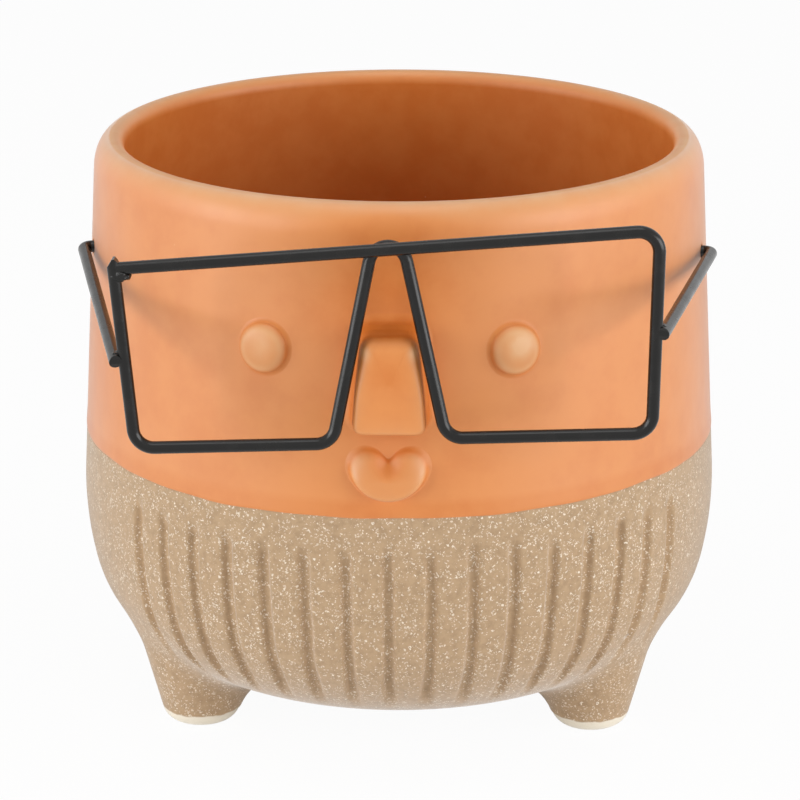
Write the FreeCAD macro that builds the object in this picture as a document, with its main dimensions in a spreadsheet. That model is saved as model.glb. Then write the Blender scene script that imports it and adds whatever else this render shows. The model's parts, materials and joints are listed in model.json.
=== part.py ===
"""Face planter: a footed stoneware pot with a modelled face, and wire glasses that swing up.

Millimetres. The origin is on the surface that the feet stand on, under the middle of the whole
footprint. +Z is up, the face looks along -Y, and +X is the right-hand side of the picture.
"""

import FreeCAD, Part
import Sketcher
import math
import os
from types import SimpleNamespace

SIZES = {
    # pot
    "pot_radius": 76.0,  # outside, at the widest place
    "belly_height": 54.0,  # height of the widest place
    "pot_height": 138.5,  # rim above the surface
    "wall": 7.0,  # wall and floor thickness
    "wall_lean": 3.1,  # degrees, inward lean of the upper wall
    "bowl_radius": 80.0,  # arc of the bowl's side, from the lower corner up into the wall
    "corner_radius": 32.0,  # arc from the bowl's side into the underside
    "underside_height": 11.6,  # flat underside above the surface
    "glaze_height": 68.9,  # line between glazed wall and bare bowl
    "lip_outer": 4.4,  # rounding of the rim outside
    "lip_inner": 2.0,  # rounding of the rim inside
    "drain_diameter": 10.0,
    # grooves of the bowl
    "groove_count": 16,  # on the front, and again on the back
    "groove_pitch": 7.2,  # degrees
    "groove_first": -7,  # the first groove in pitches from the face's centre line
    "groove_width": 3.0,
    "groove_depth": 1.2,
    "groove_gap": 7.0,  # from the glaze line down to where the grooves have their full depth
    "groove_exit": 4.0,  # radius of the arc by which a groove rises to its top end
    "groove_exit_turn": 55.0,  # degrees of that arc
    "groove_end": 58.0,  # degrees round the lower corner, where the grooves run out
    "groove_runout": 12.0,  # straight run that leaves the surface
    # feet
    "foot_circle": 52.7,  # radius of the circle that the feet stand on
    "foot_angle": 60.0,  # degrees, a front foot from the face's centre line
    "foot_base_radius": 9.8,  # at the surface, before its edge is rounded
    "foot_flare": 15.0,  # degrees, outward slope of a foot's side
    "foot_edge": 3.6,  # rounding of the lower edge
    "foot_rise": 32.0,  # height of the blank, which ends inside the bowl's wall
    # face, with heights from the glaze line
    "eye_angle": 22.0,  # degrees round the wall from the centre line
    "eye_up": 36.8,
    "eye_radius": 5.5,
    "eye_proud": 3.2,
    "nose_up": 43.0,  # top of the nose
    "nose_length": 20.8,
    "nose_top_width": 11.8,
    "nose_bottom_width": 14.6,
    "nose_proud": 10.4,
    "nose_taper": 8.0,  # degrees, the sides spread towards the wall
    "nose_edge": 1.7,
    "lips_up": 9.8,  # middle of the lips
    "lips_width": 17.4,
    "lips_depth": 11.8,  # from the lobes down to the chin side
    "lips_notch": 4.0,  # depth of the notch between the lobes
    "lips_proud": 3.2,
    "lips_edge": 1.6,
    "seat_depth": 3.0,  # how far a feature's blank reaches into the wall
    # glasses
    "wire": 2.8,
    "frame_drop": 0.9,  # middle of the frame below the nose's top
    "frame_standoff": 10.9,  # from the wall to the middle of the wire
    "frame_roll": 3.5,  # degrees, the frame sits a little askew
    "frame_top_width": 117.2,  # between wire centres
    "frame_bottom_width": 111.8,
    "left_lens_height": 40.4,
    "right_lens_height": 45.1,
    "bridge_opening": 24.6,  # between the inner lower corners
    "bridge_turn": 2.0,  # degrees, the bridge stands straighter on the nose than the frame
    "rest_clearance": 0.3,  # between the bridge wires and the nose
    "bend_radius": 4.4,
    "arch_radius": 3.9,  # round top of the bridge
    "crossing_gap": 0.15,  # between the top bar and the arch behind it
    "corner_stub": 2.8,  # the left side wire's end above the middle of the top bar
    "weld_gap": 0.25,  # where the front wire's two ends meet
    "weld_set": 1.7,  # the temple's centre outside the side wire's centre
    "temple_stub": 1.6,  # the temple's end in front of the side wire
    "hinge_up": 3.0,  # pin holes above the middle of the frame
    "hinge_forward": 16.0,  # pin holes in front of the pot's axis
    "pin_clearance": 0.3,  # radial, pin in hole
    "temple_standoff": 2.4,  # from the wall to the middle of the wire at the hook
    "hook_radius": 1.8,
    "pin_reach": 3.0,  # pin end past the inside of the wall
    "bead_radius": 2.2,  # weld beads of the temples and the corner
    "bead_back": 1.2,  # temple beads lie in the corner behind the front wire
    "bridge_bead_radius": 1.25,  # nuggets between the top bar and the bridge wires
}

doc = FreeCAD.newDocument("face_planter")
sheet = doc.addObject("Spreadsheet::Sheet", "Sizes")
for row, (alias, value) in enumerate(SIZES.items(), start=1):
    sheet.set(f"A{row}", alias)
    sheet.set(f"B{row}", str(value))
    sheet.setAlias(f"B{row}", alias)
doc.recompute()
size = SimpleNamespace(**{alias: float(sheet.get(alias)) for alias in SIZES})

Vector = FreeCAD.Vector
ACROSS, BACK, UP = Vector(1, 0, 0), Vector(0, 1, 0), Vector(0, 0, 1)
lean = math.radians(size.wall_lean)

# Side of the pot in the half plane through its axis: x is the radius, y the height.
# Two tangent arcs rise from the underside past the belly, and the leaning wall follows.
bowl_centre = Vector(size.pot_radius - size.bowl_radius, size.belly_height)
corner_height = size.underside_height + size.corner_radius
corner_drop = size.belly_height - corner_height
flat_radius = bowl_centre.x + math.sqrt((size.bowl_radius - size.corner_radius) ** 2 - corner_drop**2)
corner_centre = Vector(flat_radius, corner_height)
corner_turn = -math.atan2(corner_drop, flat_radius - bowl_centre.x)
SIDE_ARCS = [
    (corner_centre, size.corner_radius, -math.pi / 2, corner_turn),
    (bowl_centre, size.bowl_radius, corner_turn, lean),
]


def on_arc(centre, radius, angle):
    """Point of a circle in the half plane."""
    return centre + Vector(math.cos(angle), math.sin(angle)) * radius


def wall_radius(height, inset=0.0):
    """Radius of the leaning wall at a height, moved inwards by inset."""
    start = on_arc(bowl_centre, size.bowl_radius - inset, lean)
    return start.x - (height - start.y) * math.tan(lean)


def angle_at(centre, radius, height):
    """Angle on a circle's right half at a height, held to the circle's own reach."""
    return math.asin(max(-1.0, min(1.0, (height - centre.y) / radius)))


def side_edges(inset, low, high):
    """Outline of the pot's side between two heights, moved inwards by inset, from low to high."""
    edges = []
    for centre, radius, first, last in SIDE_ARCS:
        reach = radius - inset
        start = max(first, angle_at(centre, reach, low))
        end = min(last, angle_at(centre, reach, high))
        if end - start > 1e-6:
            circle = Part.Circle(centre, UP, reach)
            edges.append(Part.ArcOfCircle(circle, start, end))
    shoulder = on_arc(bowl_centre, size.bowl_radius - inset, lean)
    bottom = max(shoulder.y, low)
    if high - bottom > 1e-6:
        foot = Vector(wall_radius(bottom, inset), bottom)
        edges.append(Part.LineSegment(foot, Vector(wall_radius(high, inset), high)))
    return edges


# Heights of the face and of the glasses, which rest on the nose
eye_height = size.glaze_height + size.eye_up
nose_top = size.glaze_height + size.nose_up
lips_height = size.glaze_height + size.lips_up
frame_height = nose_top - size.frame_drop
hinge_height = frame_height + size.hinge_up

# The wire frame of the glasses stands in a plane in front of the face, and each temple runs from
# the frame's side back to a hook beside the wall. The whole footprint reaches from the temples'
# front ends to the back of the belly, and the pot's axis is set back from the middle of it.
frame_forward = wall_radius(frame_height) + size.frame_standoff
top_half, bottom_half = size.frame_top_width / 2, size.frame_bottom_width / 2
left_half, right_half = size.left_lens_height / 2, size.right_lens_height / 2
bar_up = (left_half + right_half) / 2
inner_half = size.bridge_opening / 2
side_wire = (top_half + bottom_half) / 2
weld_side = side_wire + size.weld_set
hole_outside = math.sqrt(wall_radius(hinge_height) ** 2 - size.hinge_forward**2)
hole_inside = math.sqrt(wall_radius(hinge_height, size.wall) ** 2 - size.hinge_forward**2)
hook_side = hole_outside + size.temple_standoff
temple_slant = math.atan2(hook_side - weld_side, frame_forward - size.hinge_forward)
stub_reach = size.temple_stub * math.cos(temple_slant) + size.wire / 2 * math.sin(temple_slant)
front_reach = frame_forward + max(size.wire / 2, stub_reach)
axis_y = (front_reach - size.pot_radius) / 2


def new_body(name, turn=0.0, place=Vector(), tilt=FreeCAD.Rotation()):
    """Body with its place and tilt beside the pot's axis, turned about that axis by degrees."""
    body = doc.addObject("PartDesign::Body", name)
    about_axis = FreeCAD.Placement(Vector(0, axis_y, 0), FreeCAD.Rotation(UP, turn))
    body.Placement = about_axis * FreeCAD.Placement(place, tilt)
    return body


def sketch_on(body, name, role, forward=0.0):
    """Empty sketch on one of the body's own planes, moved along the plane's normal."""
    sketch = body.newObject("Sketcher::SketchObject", name)
    plane = next(item for item in body.Origin.OriginFeatures if item.Role == role)
    sketch.AttachmentSupport = [(plane, "")]
    sketch.MapMode = "FlatFace"
    sketch.AttachmentOffset = FreeCAD.Placement(Vector(0, 0, forward), FreeCAD.Rotation())
    return sketch


def draw(sketch, edges):
    """Puts edges in a sketch and ties each end to the end that it meets."""
    sketch.addGeometry(edges, False)
    ends = [(edge, end) for edge in range(len(edges)) for end in (1, 2)]
    for index, one in enumerate(ends):
        for other in ends[index + 1 :]:
            if one[0] != other[0] and sketch.getPoint(*one).isEqual(sketch.getPoint(*other), 1e-6):
                sketch.addConstraint(Sketcher.Constraint("Coincident", *one, *other))


def measure(sketch, name, expression, kind, *geometry):
    """Adds a dimension to a sketch and binds it to the sheet."""
    sketch.addConstraint(Sketcher.Constraint(kind, *geometry))
    sketch.renameConstraint(sketch.ConstraintCount - 1, name)
    sketch.setExpression(f"Constraints.{name}", expression)


def polygon(points):
    """Closed run of straight edges through points."""
    return [Part.LineSegment(start, end) for start, end in zip(points, points[1:] + points[:1])]


def turn_profile(body, sketch, name):
    """Solid of revolution of a sketch about the pot's axis."""
    turned = body.newObject("PartDesign::Revolution", name)
    turned.Profile = sketch
    turned.ReferenceAxis = (sketch, ["V_Axis"])
    turned.Angle = 360
    return turned


def closed_profile(edges_up, edges_down):
    """Joins an outer outline and an inner one with straight lines at both ends."""
    outer_low, outer_high = edges_up[0].StartPoint, edges_up[-1].EndPoint
    inner_low, inner_high = edges_down[0].StartPoint, edges_down[-1].EndPoint
    top = Part.LineSegment(outer_high, inner_high)
    bottom = Part.LineSegment(inner_low, outer_low)
    return [*edges_up, top, *edges_down, bottom]


def cut(label, base, tool):
    """Boolean cut under its own label."""
    result = doc.addObject("Part::Cut", label)
    result.Base = base
    result.Tool = tool
    return result


def edges_where(feature, test):
    """Names of a feature's edges whose bounding box passes a test."""
    numbered = enumerate(feature.Shape.Edges, start=1)
    return [f"Edge{number}" for number, edge in numbered if test(edge.BoundBox)]


def make_upper_wall():
    """Glazed wall from the glaze line to the rounded rim, with a pin hole through each side."""
    body = new_body("upper_wall")
    profile = sketch_on(body, "WallProfile", "XZ_Plane")
    outside = side_edges(0.0, size.glaze_height, size.pot_height)
    inside = side_edges(size.wall, size.glaze_height, size.pot_height)
    draw(profile, closed_profile(outside, inside))
    top_edge = len(outside) - 1
    measure(profile, "low", "Sizes.glaze_height", "DistanceY", -1, 1, 0, 1, size.glaze_height)
    measure(profile, "high", "Sizes.pot_height", "DistanceY", -1, 1, top_edge, 2, size.pot_height)
    rim = turn_profile(body, profile, "Wall")
    for name, inset in (("lip_outer", 0.0), ("lip_inner", size.wall)):
        rim = round_rim(body, rim, name, wall_radius(size.pot_height, inset))
    holes = sketch_on(body, "PinHoles", "YZ_Plane")
    place = Vector(-size.hinge_forward, hinge_height)
    holes.addGeometry(Part.Circle(place, UP, size.wire / 2 + size.pin_clearance), False)
    measure(holes, "forward", "Sizes.hinge_forward", "DistanceX", 0, 3, -1, 1, size.hinge_forward)
    hole_height = "Sizes.glaze_height + Sizes.nose_up - Sizes.frame_drop + Sizes.hinge_up"
    measure(holes, "height", hole_height, "DistanceY", -1, 1, 0, 3, hinge_height)
    hole_radius = "Sizes.wire / 2 + Sizes.pin_clearance"
    measure(holes, "radius", hole_radius, "Radius", 0, size.wire / 2 + size.pin_clearance)
    pocket = body.newObject("PartDesign::Pocket", "PinHolePair")
    pocket.Profile = holes
    pocket.SideType = "Symmetric"
    pocket.Type = "ThroughAll"
    return body


def round_rim(body, base, name, radius):
    """Rounds the rim's edge of the given radius."""
    doc.recompute()
    rounding = body.newObject("PartDesign::Fillet", name)
    top = size.pot_height - 1e-6
    rim = edges_where(base, lambda box: box.ZMin > top and abs(box.XLength / 2 - radius) < 0.01)
    rounding.Base = (base, rim)
    rounding.setExpression("Radius", f"Sizes.{name}")
    return rounding


def make_ribbed_bowl():
    """Bare bowl with its floor and drain hole, and grooves down its front and its back."""
    first = size.groove_first * size.groove_pitch
    body = new_body("ribbed_bowl", first)
    profile = sketch_on(body, "BowlProfile", "XZ_Plane")
    drain = size.drain_diameter / 2
    floor_height = size.underside_height + size.wall
    outside = side_edges(0.0, size.underside_height, size.glaze_height)
    inside = side_edges(size.wall, floor_height, size.glaze_height)
    underside = Part.LineSegment(Vector(drain, size.underside_height), outside[0].StartPoint)
    floor = Part.LineSegment(Vector(drain, floor_height), inside[0].StartPoint)
    draw(profile, closed_profile([underside, *outside], [floor, *inside]))
    low = size.underside_height
    measure(profile, "underside", "Sizes.underside_height", "DistanceY", -1, 1, 0, 1, low)
    measure(profile, "drain", "Sizes.drain_diameter / 2", "DistanceX", -1, 1, 0, 1, drain)
    measure(profile, "corner_radius", "Sizes.corner_radius", "Radius", 1, size.corner_radius)
    measure(profile, "bowl_radius", "Sizes.bowl_radius", "Radius", 2, size.bowl_radius)
    turn_profile(body, profile, "Bowl")
    doc.recompute()

    # A round cutter, part of it outside the surface, leaves a groove of the given width and depth.
    half = size.groove_width / 2
    cutter = (half**2 + size.groove_depth**2) / (2 * size.groove_depth)
    route = groove_route(cutter - size.groove_depth)
    for side, sign in (("Front", -1), ("Back", 1)):
        path = sketch_on(body, f"{side}GroovePath", "YZ_Plane")
        draw(path, [edge if sign > 0 else mirrored(edge) for edge in route])
        start = route[0].StartPoint
        steep = math.atan2(route[0].EndPoint.y - start.y, sign * (route[0].EndPoint.x - start.x))
        section = sketch_on(body, f"{side}GrooveSection", "XY_Plane")
        across = FreeCAD.Rotation(ACROSS, math.degrees(steep) - 90)
        seam_outwards = FreeCAD.Rotation(UP, sign * 90)
        place = Vector(0, sign * start.x, start.y)
        section.AttachmentOffset = FreeCAD.Placement(place, across * seam_outwards)
        section.addGeometry(Part.Circle(Vector(), UP, cutter), False)
        groove = body.newObject("PartDesign::SubtractivePipe", f"{side}Groove")
        groove.Profile = section
        groove.Spine = (path, [f"Edge{number + 1}" for number in range(len(route))])
        doc.recompute()
        pattern = body.newObject("PartDesign::PolarPattern", f"{side}Grooves")
        pattern.Originals = [groove]
        pattern.Axis = (profile, ["V_Axis"])
        pattern.setExpression("Angle", "(Sizes.groove_count - 1) * Sizes.groove_pitch")
        pattern.setExpression("Occurrences", "Sizes.groove_count")
        body.Tip = pattern
        doc.recompute()
    return body


def groove_route(outset):
    """Line that a groove follows: off the underside, up the bowl's side and out at its top."""
    end = -math.radians(size.groove_end)
    low = on_arc(corner_centre, size.corner_radius + outset, end)
    run = Vector(-math.sin(end), math.cos(end)) * size.groove_runout
    side = side_edges(-outset, low.y, size.glaze_height - size.groove_gap)
    head = side[-1].EndPoint
    slope = min(lean, angle_at(bowl_centre, size.bowl_radius + outset, head.y))
    exit_centre = on_arc(head, size.groove_exit, slope)
    exit_circle = Part.Circle(exit_centre, UP, size.groove_exit)
    exit_turn = math.radians(size.groove_exit_turn)
    leave = Part.ArcOfCircle(exit_circle, math.pi + slope - exit_turn, math.pi + slope)
    return [Part.LineSegment(low - run, low), *side, leave]


def mirrored(edge):
    """The same edge on the other side of the height axis, drawn from the other end."""
    if isinstance(edge, Part.LineSegment):
        flip = [Vector(-point.x, point.y) for point in (edge.EndPoint, edge.StartPoint)]
        return Part.LineSegment(*flip)
    centre = Vector(-edge.Center.x, edge.Center.y)
    circle = Part.Circle(centre, UP, edge.Radius)
    return Part.ArcOfCircle(circle, math.pi - edge.LastParameter, math.pi - edge.FirstParameter)


def make_bowl_core():
    """Filled bowl as far out as the middle of its wall, where the blanks of the feet end."""
    body = new_body("BowlCore")
    profile = sketch_on(body, "CoreProfile", "XZ_Plane")
    bottom = size.underside_height + size.wall / 2
    outside = side_edges(size.wall / 2, bottom, size.glaze_height)
    axis_low, axis_high = Vector(0, bottom), Vector(0, size.glaze_height)
    lid = Part.LineSegment(outside[-1].EndPoint, axis_high)
    spine = Part.LineSegment(axis_high, axis_low)
    base = Part.LineSegment(axis_low, outside[0].StartPoint)
    draw(profile, [*outside, lid, spine, base])
    turn_profile(body, profile, "Core")
    return body


def make_foot(label, azimuth):
    """Tapered foot with a rounded lower edge, fitted to the bowl above it."""
    blank = new_body(f"{label}_blank", azimuth, Vector(0, -size.foot_circle, 0))
    profile = sketch_on(blank, f"{label}_profile", "XZ_Plane")
    top_radius = size.foot_base_radius + size.foot_rise * math.tan(math.radians(size.foot_flare))
    base, top = Vector(size.foot_base_radius, 0), Vector(top_radius, size.foot_rise)
    draw(profile, polygon([Vector(), base, top, Vector(0, size.foot_rise)]))
    measure(profile, "base", "Sizes.foot_base_radius", "DistanceX", 0, size.foot_base_radius)
    measure(profile, "rise", "Sizes.foot_rise", "DistanceY", 3, 2, 3, 1, size.foot_rise)
    turned = turn_profile(blank, profile, f"{label}_cone")
    doc.recompute()
    rounding = blank.newObject("PartDesign::Fillet", f"{label}_edge")
    rounding.Base = (turned, edges_where(turned, lambda box: box.ZMax < 1e-6))
    rounding.setExpression("Radius", "Sizes.foot_edge")
    trimmed = cut(f"{label}_trimmed", blank, bowl_core)
    return cut(label, trimmed, ribbed_bowl)


def make_eye(label, azimuth):
    """Dome on the wall, its axis square to the pot's."""
    place = Vector(0, -wall_radius(eye_height), eye_height)
    blank = new_body(f"{label}_blank", azimuth, place, FreeCAD.Rotation(ACROSS, 90))
    ball = (size.eye_radius**2 + size.eye_proud**2) / (2 * size.eye_proud)
    centre = Vector(0, size.eye_proud - ball)
    edge = math.atan2(-centre.y, size.eye_radius)
    dome = Part.ArcOfCircle(Part.Circle(centre, UP, ball), edge, math.pi / 2)
    rim, seat = dome.StartPoint, -size.seat_depth
    sides = [rim, Vector(rim.x, seat), Vector(0, seat), dome.EndPoint]
    lines = [Part.LineSegment(start, end) for start, end in zip(sides, sides[1:])]
    profile = sketch_on(blank, f"{label}_profile", "XZ_Plane")
    draw(profile, [dome, *lines])
    ball_radius = "(Sizes.eye_radius ^ 2 + Sizes.eye_proud ^ 2) / (2 * Sizes.eye_proud)"
    measure(profile, "ball_radius", ball_radius, "Radius", 0, ball)
    measure(profile, "seat", "Sizes.seat_depth", "DistanceY", 2, 2, -1, 1, size.seat_depth)
    turn_profile(blank, profile, f"{label}_dome")
    return cut(label, blank, upper_wall)


def raise_outline(body, name, edges, middle, proud):
    """Pads an outline that stands in front of the wall back into it."""
    outline = sketch_on(body, f"{name}_outline", "XZ_Plane", wall_radius(middle) + proud)
    draw(outline, edges)
    pad = body.newObject("PartDesign::Pad", f"{name}_block")
    pad.Profile = outline
    pad.Reversed = True
    pad.setExpression("Length", f"Sizes.{name}_proud + Sizes.seat_depth")
    return pad


def make_nose():
    """Wedge of a nose, wider towards its lower end and towards the wall, with soft edges."""
    blank = new_body("nose_blank")
    low = nose_top - size.nose_length
    top, bottom = size.nose_top_width / 2, size.nose_bottom_width / 2
    corners = [(-bottom, low), (bottom, low), (top, nose_top), (-top, nose_top)]
    outline = polygon([Vector(*corner) for corner in corners])
    middle = nose_top - size.nose_length / 2
    pad = raise_outline(blank, "nose", outline, middle, size.nose_proud)
    bottom_width, top_width = size.nose_bottom_width, size.nose_top_width
    measure(pad.Profile[0], "bottom", "Sizes.nose_bottom_width", "Distance", 0, bottom_width)
    measure(pad.Profile[0], "top", "Sizes.nose_top_width", "Distance", 2, top_width)
    pad.setExpression("TaperAngle", "Sizes.nose_taper")
    doc.recompute()
    wall_side = -wall_radius(middle) - size.nose_proud + size.seat_depth
    rounding = blank.newObject("PartDesign::Fillet", "nose_edges")
    rounding.Base = (pad, edges_where(pad, lambda box: box.YMin < wall_side))
    rounding.setExpression("Radius", "Sizes.nose_edge")
    return cut("nose", blank, upper_wall)


def make_lips():
    """Heart-shaped lips: two round lobes that meet in a notch, over one wide round."""
    blank = new_body("lips_blank")
    half, reach = size.lips_width / 2, size.lips_depth / 2
    lobe = half + size.lips_notch - math.sqrt(2 * half * size.lips_notch)
    lobe_side, lobe_up = half - lobe, reach - lobe
    round_up = lobe_side**2 / (4 * lobe_up)
    middle = Vector(0, lips_height)
    notch_turn = math.atan2(reach - size.lips_notch - lobe_up, -lobe_side)
    join_turn = math.atan2(lobe_up - round_up, lobe_side)
    right = Part.Circle(middle + Vector(lobe_side, lobe_up), UP, lobe)
    left = Part.Circle(middle + Vector(-lobe_side, lobe_up), UP, lobe)
    wide = Part.Circle(middle + Vector(0, round_up), UP, round_up + reach)
    outline = [
        Part.ArcOfCircle(right, join_turn, notch_turn),
        Part.ArcOfCircle(left, math.pi - notch_turn, math.pi - join_turn),
        Part.ArcOfCircle(wide, math.pi - join_turn, 2 * math.pi + join_turn),
    ]
    pad = raise_outline(blank, "lips", outline, lips_height, size.lips_proud)
    doc.recompute()
    front = -wall_radius(lips_height) - size.lips_proud
    rounding = blank.newObject("PartDesign::Fillet", "lips_edges")
    rounding.Base = (pad, edges_where(pad, lambda box: box.YMax < front + 1e-6))
    rounding.setExpression("Radius", "Sizes.lips_edge")
    return cut("lips", blank, upper_wall)


def frame_point(across, up, back=0.0):
    """Place of a point of the frame, which is rolled a little about the line of sight."""
    roll = math.radians(size.frame_roll)
    x = across * math.cos(roll) - up * math.sin(roll)
    z = across * math.sin(roll) + up * math.cos(roll)
    return Vector(x, axis_y - frame_forward + back, frame_height + z)


def bent_path(points, radii):
    """Path of straight runs with a tangent arc at each inner point."""
    edges = []
    start = points[0]
    for before, corner, after, radius in zip(points, points[1:], points[2:], radii):
        back = (before - corner).normalize()
        ahead = (after - corner).normalize()
        half_turn = (math.pi - back.getAngle(ahead)) / 2
        inwards = (back + ahead).normalize()
        centre = corner + inwards * (radius / math.cos(half_turn))
        arc_start = corner + back * (radius * math.tan(half_turn))
        arc_end = corner + ahead * (radius * math.tan(half_turn))
        edges.append(Part.LineSegment(start, arc_start).toShape())
        edges.append(Part.Arc(arc_start, centre - inwards * radius, arc_end).toShape())
        start = arc_end
    edges.append(Part.LineSegment(start, points[-1]).toShape())
    return Part.Wire(edges)


def bend_wire(label, points, radii):
    """Round wire along a bent path."""
    path = doc.addObject("Part::Feature", f"{label}_path")
    path.Shape = bent_path(points, radii)
    section = doc.addObject("Part::Circle", f"{label}_section")
    section.setExpression("Radius", "Sizes.wire / 2")
    along = FreeCAD.Rotation(UP, points[1] - points[0])
    section.Placement = FreeCAD.Placement(points[0], along)
    swept = doc.addObject("Part::Sweep", label)
    swept.Sections = [section]
    swept.Spine = (path, [f"Edge{number + 1}" for number in range(len(path.Shape.Edges))])
    swept.Solid = True
    return swept


def bridge_lean():
    """Angle from upright of a bridge wire that just clears the nose's upper corner."""
    to_nose_side = inner_half - size.nose_top_width / 2
    to_nose_up = nose_top - frame_height + bar_up
    clear = size.wire / 2 + size.rest_clearance
    to_nose = math.hypot(to_nose_side, to_nose_up)
    return math.atan2(to_nose_side, to_nose_up) - math.asin(clear / to_nose)


def bridge_point(across, up):
    """Across and up of a point of the bridge, turned about the nose's top against the frame."""
    turned = (up - size.frame_drop) * math.tan(math.radians(size.bridge_turn))
    return Vector(across + turned, up)


def bridge_corners():
    """Lower left corner of the bridge, the peak that its two wires lean to, lower right corner."""
    peak = bridge_point(0, inner_half / math.tan(bridge_lean()) - bar_up)
    return bridge_point(-inner_half, -bar_up), peak, bridge_point(inner_half, -bar_up)


def bridge_crossings():
    """Across of the two places where the bridge passes behind the top bar."""
    left_corner, peak, right_corner = bridge_corners()
    left, right = (left_corner - peak).normalize(), (right_corner - peak).normalize()
    half_angle = left.getAngle(right) / 2
    middle = peak + (left + right).normalize() * (size.arch_radius / math.sin(half_angle))
    rise = bar_up - middle.y
    if rise > size.arch_radius * math.sin(half_angle):
        half_gap = math.sqrt(size.arch_radius**2 - rise**2)
    else:
        half_gap = (peak.y - bar_up) * math.tan(half_angle)
    return middle.x - half_gap, middle.x + half_gap


def bridge_back(up):
    """How far a bridge wire lies behind the frame's plane: enough to pass the top bar."""
    return (size.wire + size.crossing_gap) * (up + bar_up) / (2 * bar_up)


def make_front_frame():
    """One wire: top bar, right lens, bridge arch behind the bar, left lens, and up to the bar."""
    slope = (right_half - left_half) / (2 * top_half)
    bar_start = -top_half + size.wire / 2 + size.weld_gap
    left_corner, peak, right_corner = bridge_corners()
    side_slope = (top_half - bottom_half) / (2 * left_half)
    points = [
        frame_point(bar_start, left_half + slope * (bar_start + top_half)),
        frame_point(top_half, right_half),
        frame_point(bottom_half, -right_half),
        frame_point(right_corner.x, right_corner.y),
        frame_point(peak.x, peak.y, bridge_back(peak.y)),
        frame_point(left_corner.x, left_corner.y),
        frame_point(-bottom_half, -left_half),
        frame_point(-top_half - side_slope * size.corner_stub, left_half + size.corner_stub),
    ]
    bend, arch = size.bend_radius, size.arch_radius
    return bend_wire("front_frame", points, [bend, bend, bend, arch, bend, bend])


def make_temple(label, sign):
    """Temple wire from its weld on the frame's side to the hook, whose end is the pivot pin."""
    weld = frame_point(sign * weld_side, 0)
    pivot_y = axis_y - size.hinge_forward
    hook = Vector(sign * hook_side, pivot_y, hinge_height)
    pin_end = Vector(sign * (hole_inside - size.pin_reach), pivot_y, hinge_height)
    front_end = weld + (weld - hook).normalize() * size.temple_stub
    wire = bend_wire(f"{label}_wire", [front_end, hook, pin_end], [size.hook_radius])
    return cut(label, wire, front_frame)


def make_bead(name, place, wires):
    """Ball of weld metal round the place where wires meet, its poles tilted off the wires."""
    bead = doc.addObject("Part::Sphere", f"{name}_ball")
    bead.setExpression("Radius", "Sizes.bead_radius")
    bead.Placement = FreeCAD.Placement(place, FreeCAD.Rotation(ACROSS, 45))
    for number, wire in enumerate(wires, start=1):
        bead = cut(f"{name}_{number}", bead, wire)
    return bead


def group(label, pieces):
    """Like pieces under one label."""
    result = doc.addObject("Part::Compound", label)
    result.Links = pieces
    return result


def make_welds():
    """Weld beads at the front wire's meeting ends, at the bridge and at the temples."""
    corner_place = frame_point(-top_half + size.wire / 2, left_half)
    corner = make_bead("corner_bead", corner_place, [front_frame])
    corner.Label = "corner_weld"
    left_crossing, right_crossing = bridge_crossings()
    bridge_beads = []
    temple_beads = []
    for side, sign, temple, crossing in (
        ("left", -1, left_temple, left_crossing),
        ("right", 1, right_temple, right_crossing),
    ):
        nugget = doc.addObject("Part::Cylinder", f"{side}_bridge_nugget")
        nugget.setExpression("Radius", "Sizes.bridge_bead_radius")
        nugget.setExpression("Height", "Sizes.wire + Sizes.crossing_gap")
        along = FreeCAD.Rotation(UP, BACK)
        nugget.Placement = FreeCAD.Placement(frame_point(crossing, bar_up), along)
        bridge_beads.append(cut(f"{side}_bridge_bead", nugget, front_frame))
        weld_place = frame_point(sign * (side_wire + size.weld_set / 2), 0, size.bead_back)
        name = f"{side}_temple_bead"
        temple_beads.append(make_bead(name, weld_place, [front_frame, temple]))
    return corner, group("bridge_welds", bridge_beads), group("temple_welds", temple_beads)


upper_wall = make_upper_wall()
ribbed_bowl = make_ribbed_bowl()
bowl_core = make_bowl_core()
front_frame = make_front_frame()
left_temple = make_temple("left_temple", -1)
right_temple = make_temple("right_temple", 1)
sub_parts = [
    upper_wall,
    ribbed_bowl,
    make_foot("front_left_foot", -size.foot_angle),
    make_foot("front_right_foot", size.foot_angle),
    make_foot("rear_foot", 180),
    make_nose(),
    make_lips(),
    make_eye("left_eye", -size.eye_angle),
    make_eye("right_eye", size.eye_angle),
    front_frame,
    left_temple,
    right_temple,
    *make_welds(),
]
doc.recompute()

for item in doc.Objects:
    if "Invalid" in item.State or "Error" in item.State:
        raise RuntimeError(f"{item.Label} did not build: {item.State}")
for sub_part in sub_parts:
    shape = sub_part.Shape
    if shape.isNull() or not shape.isValid() or not shape.Solids:
        raise RuntimeError(f"{sub_part.Label} has no valid solid")
os.makedirs("parts", exist_ok=True)
for sub_part in sub_parts:
    sub_part.Shape.exportStep(f"parts/{sub_part.Label}.step")
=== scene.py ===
"""Dresses the face planter: glazed wall and face, grooved stoneware bowl on feet, wire glasses."""

import json
import math

import bmesh
import bpy
import numpy as np
from bpy.props import FloatProperty, FloatVectorProperty, IntProperty, PointerProperty
from mathutils import Matrix, Vector, noise


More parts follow.
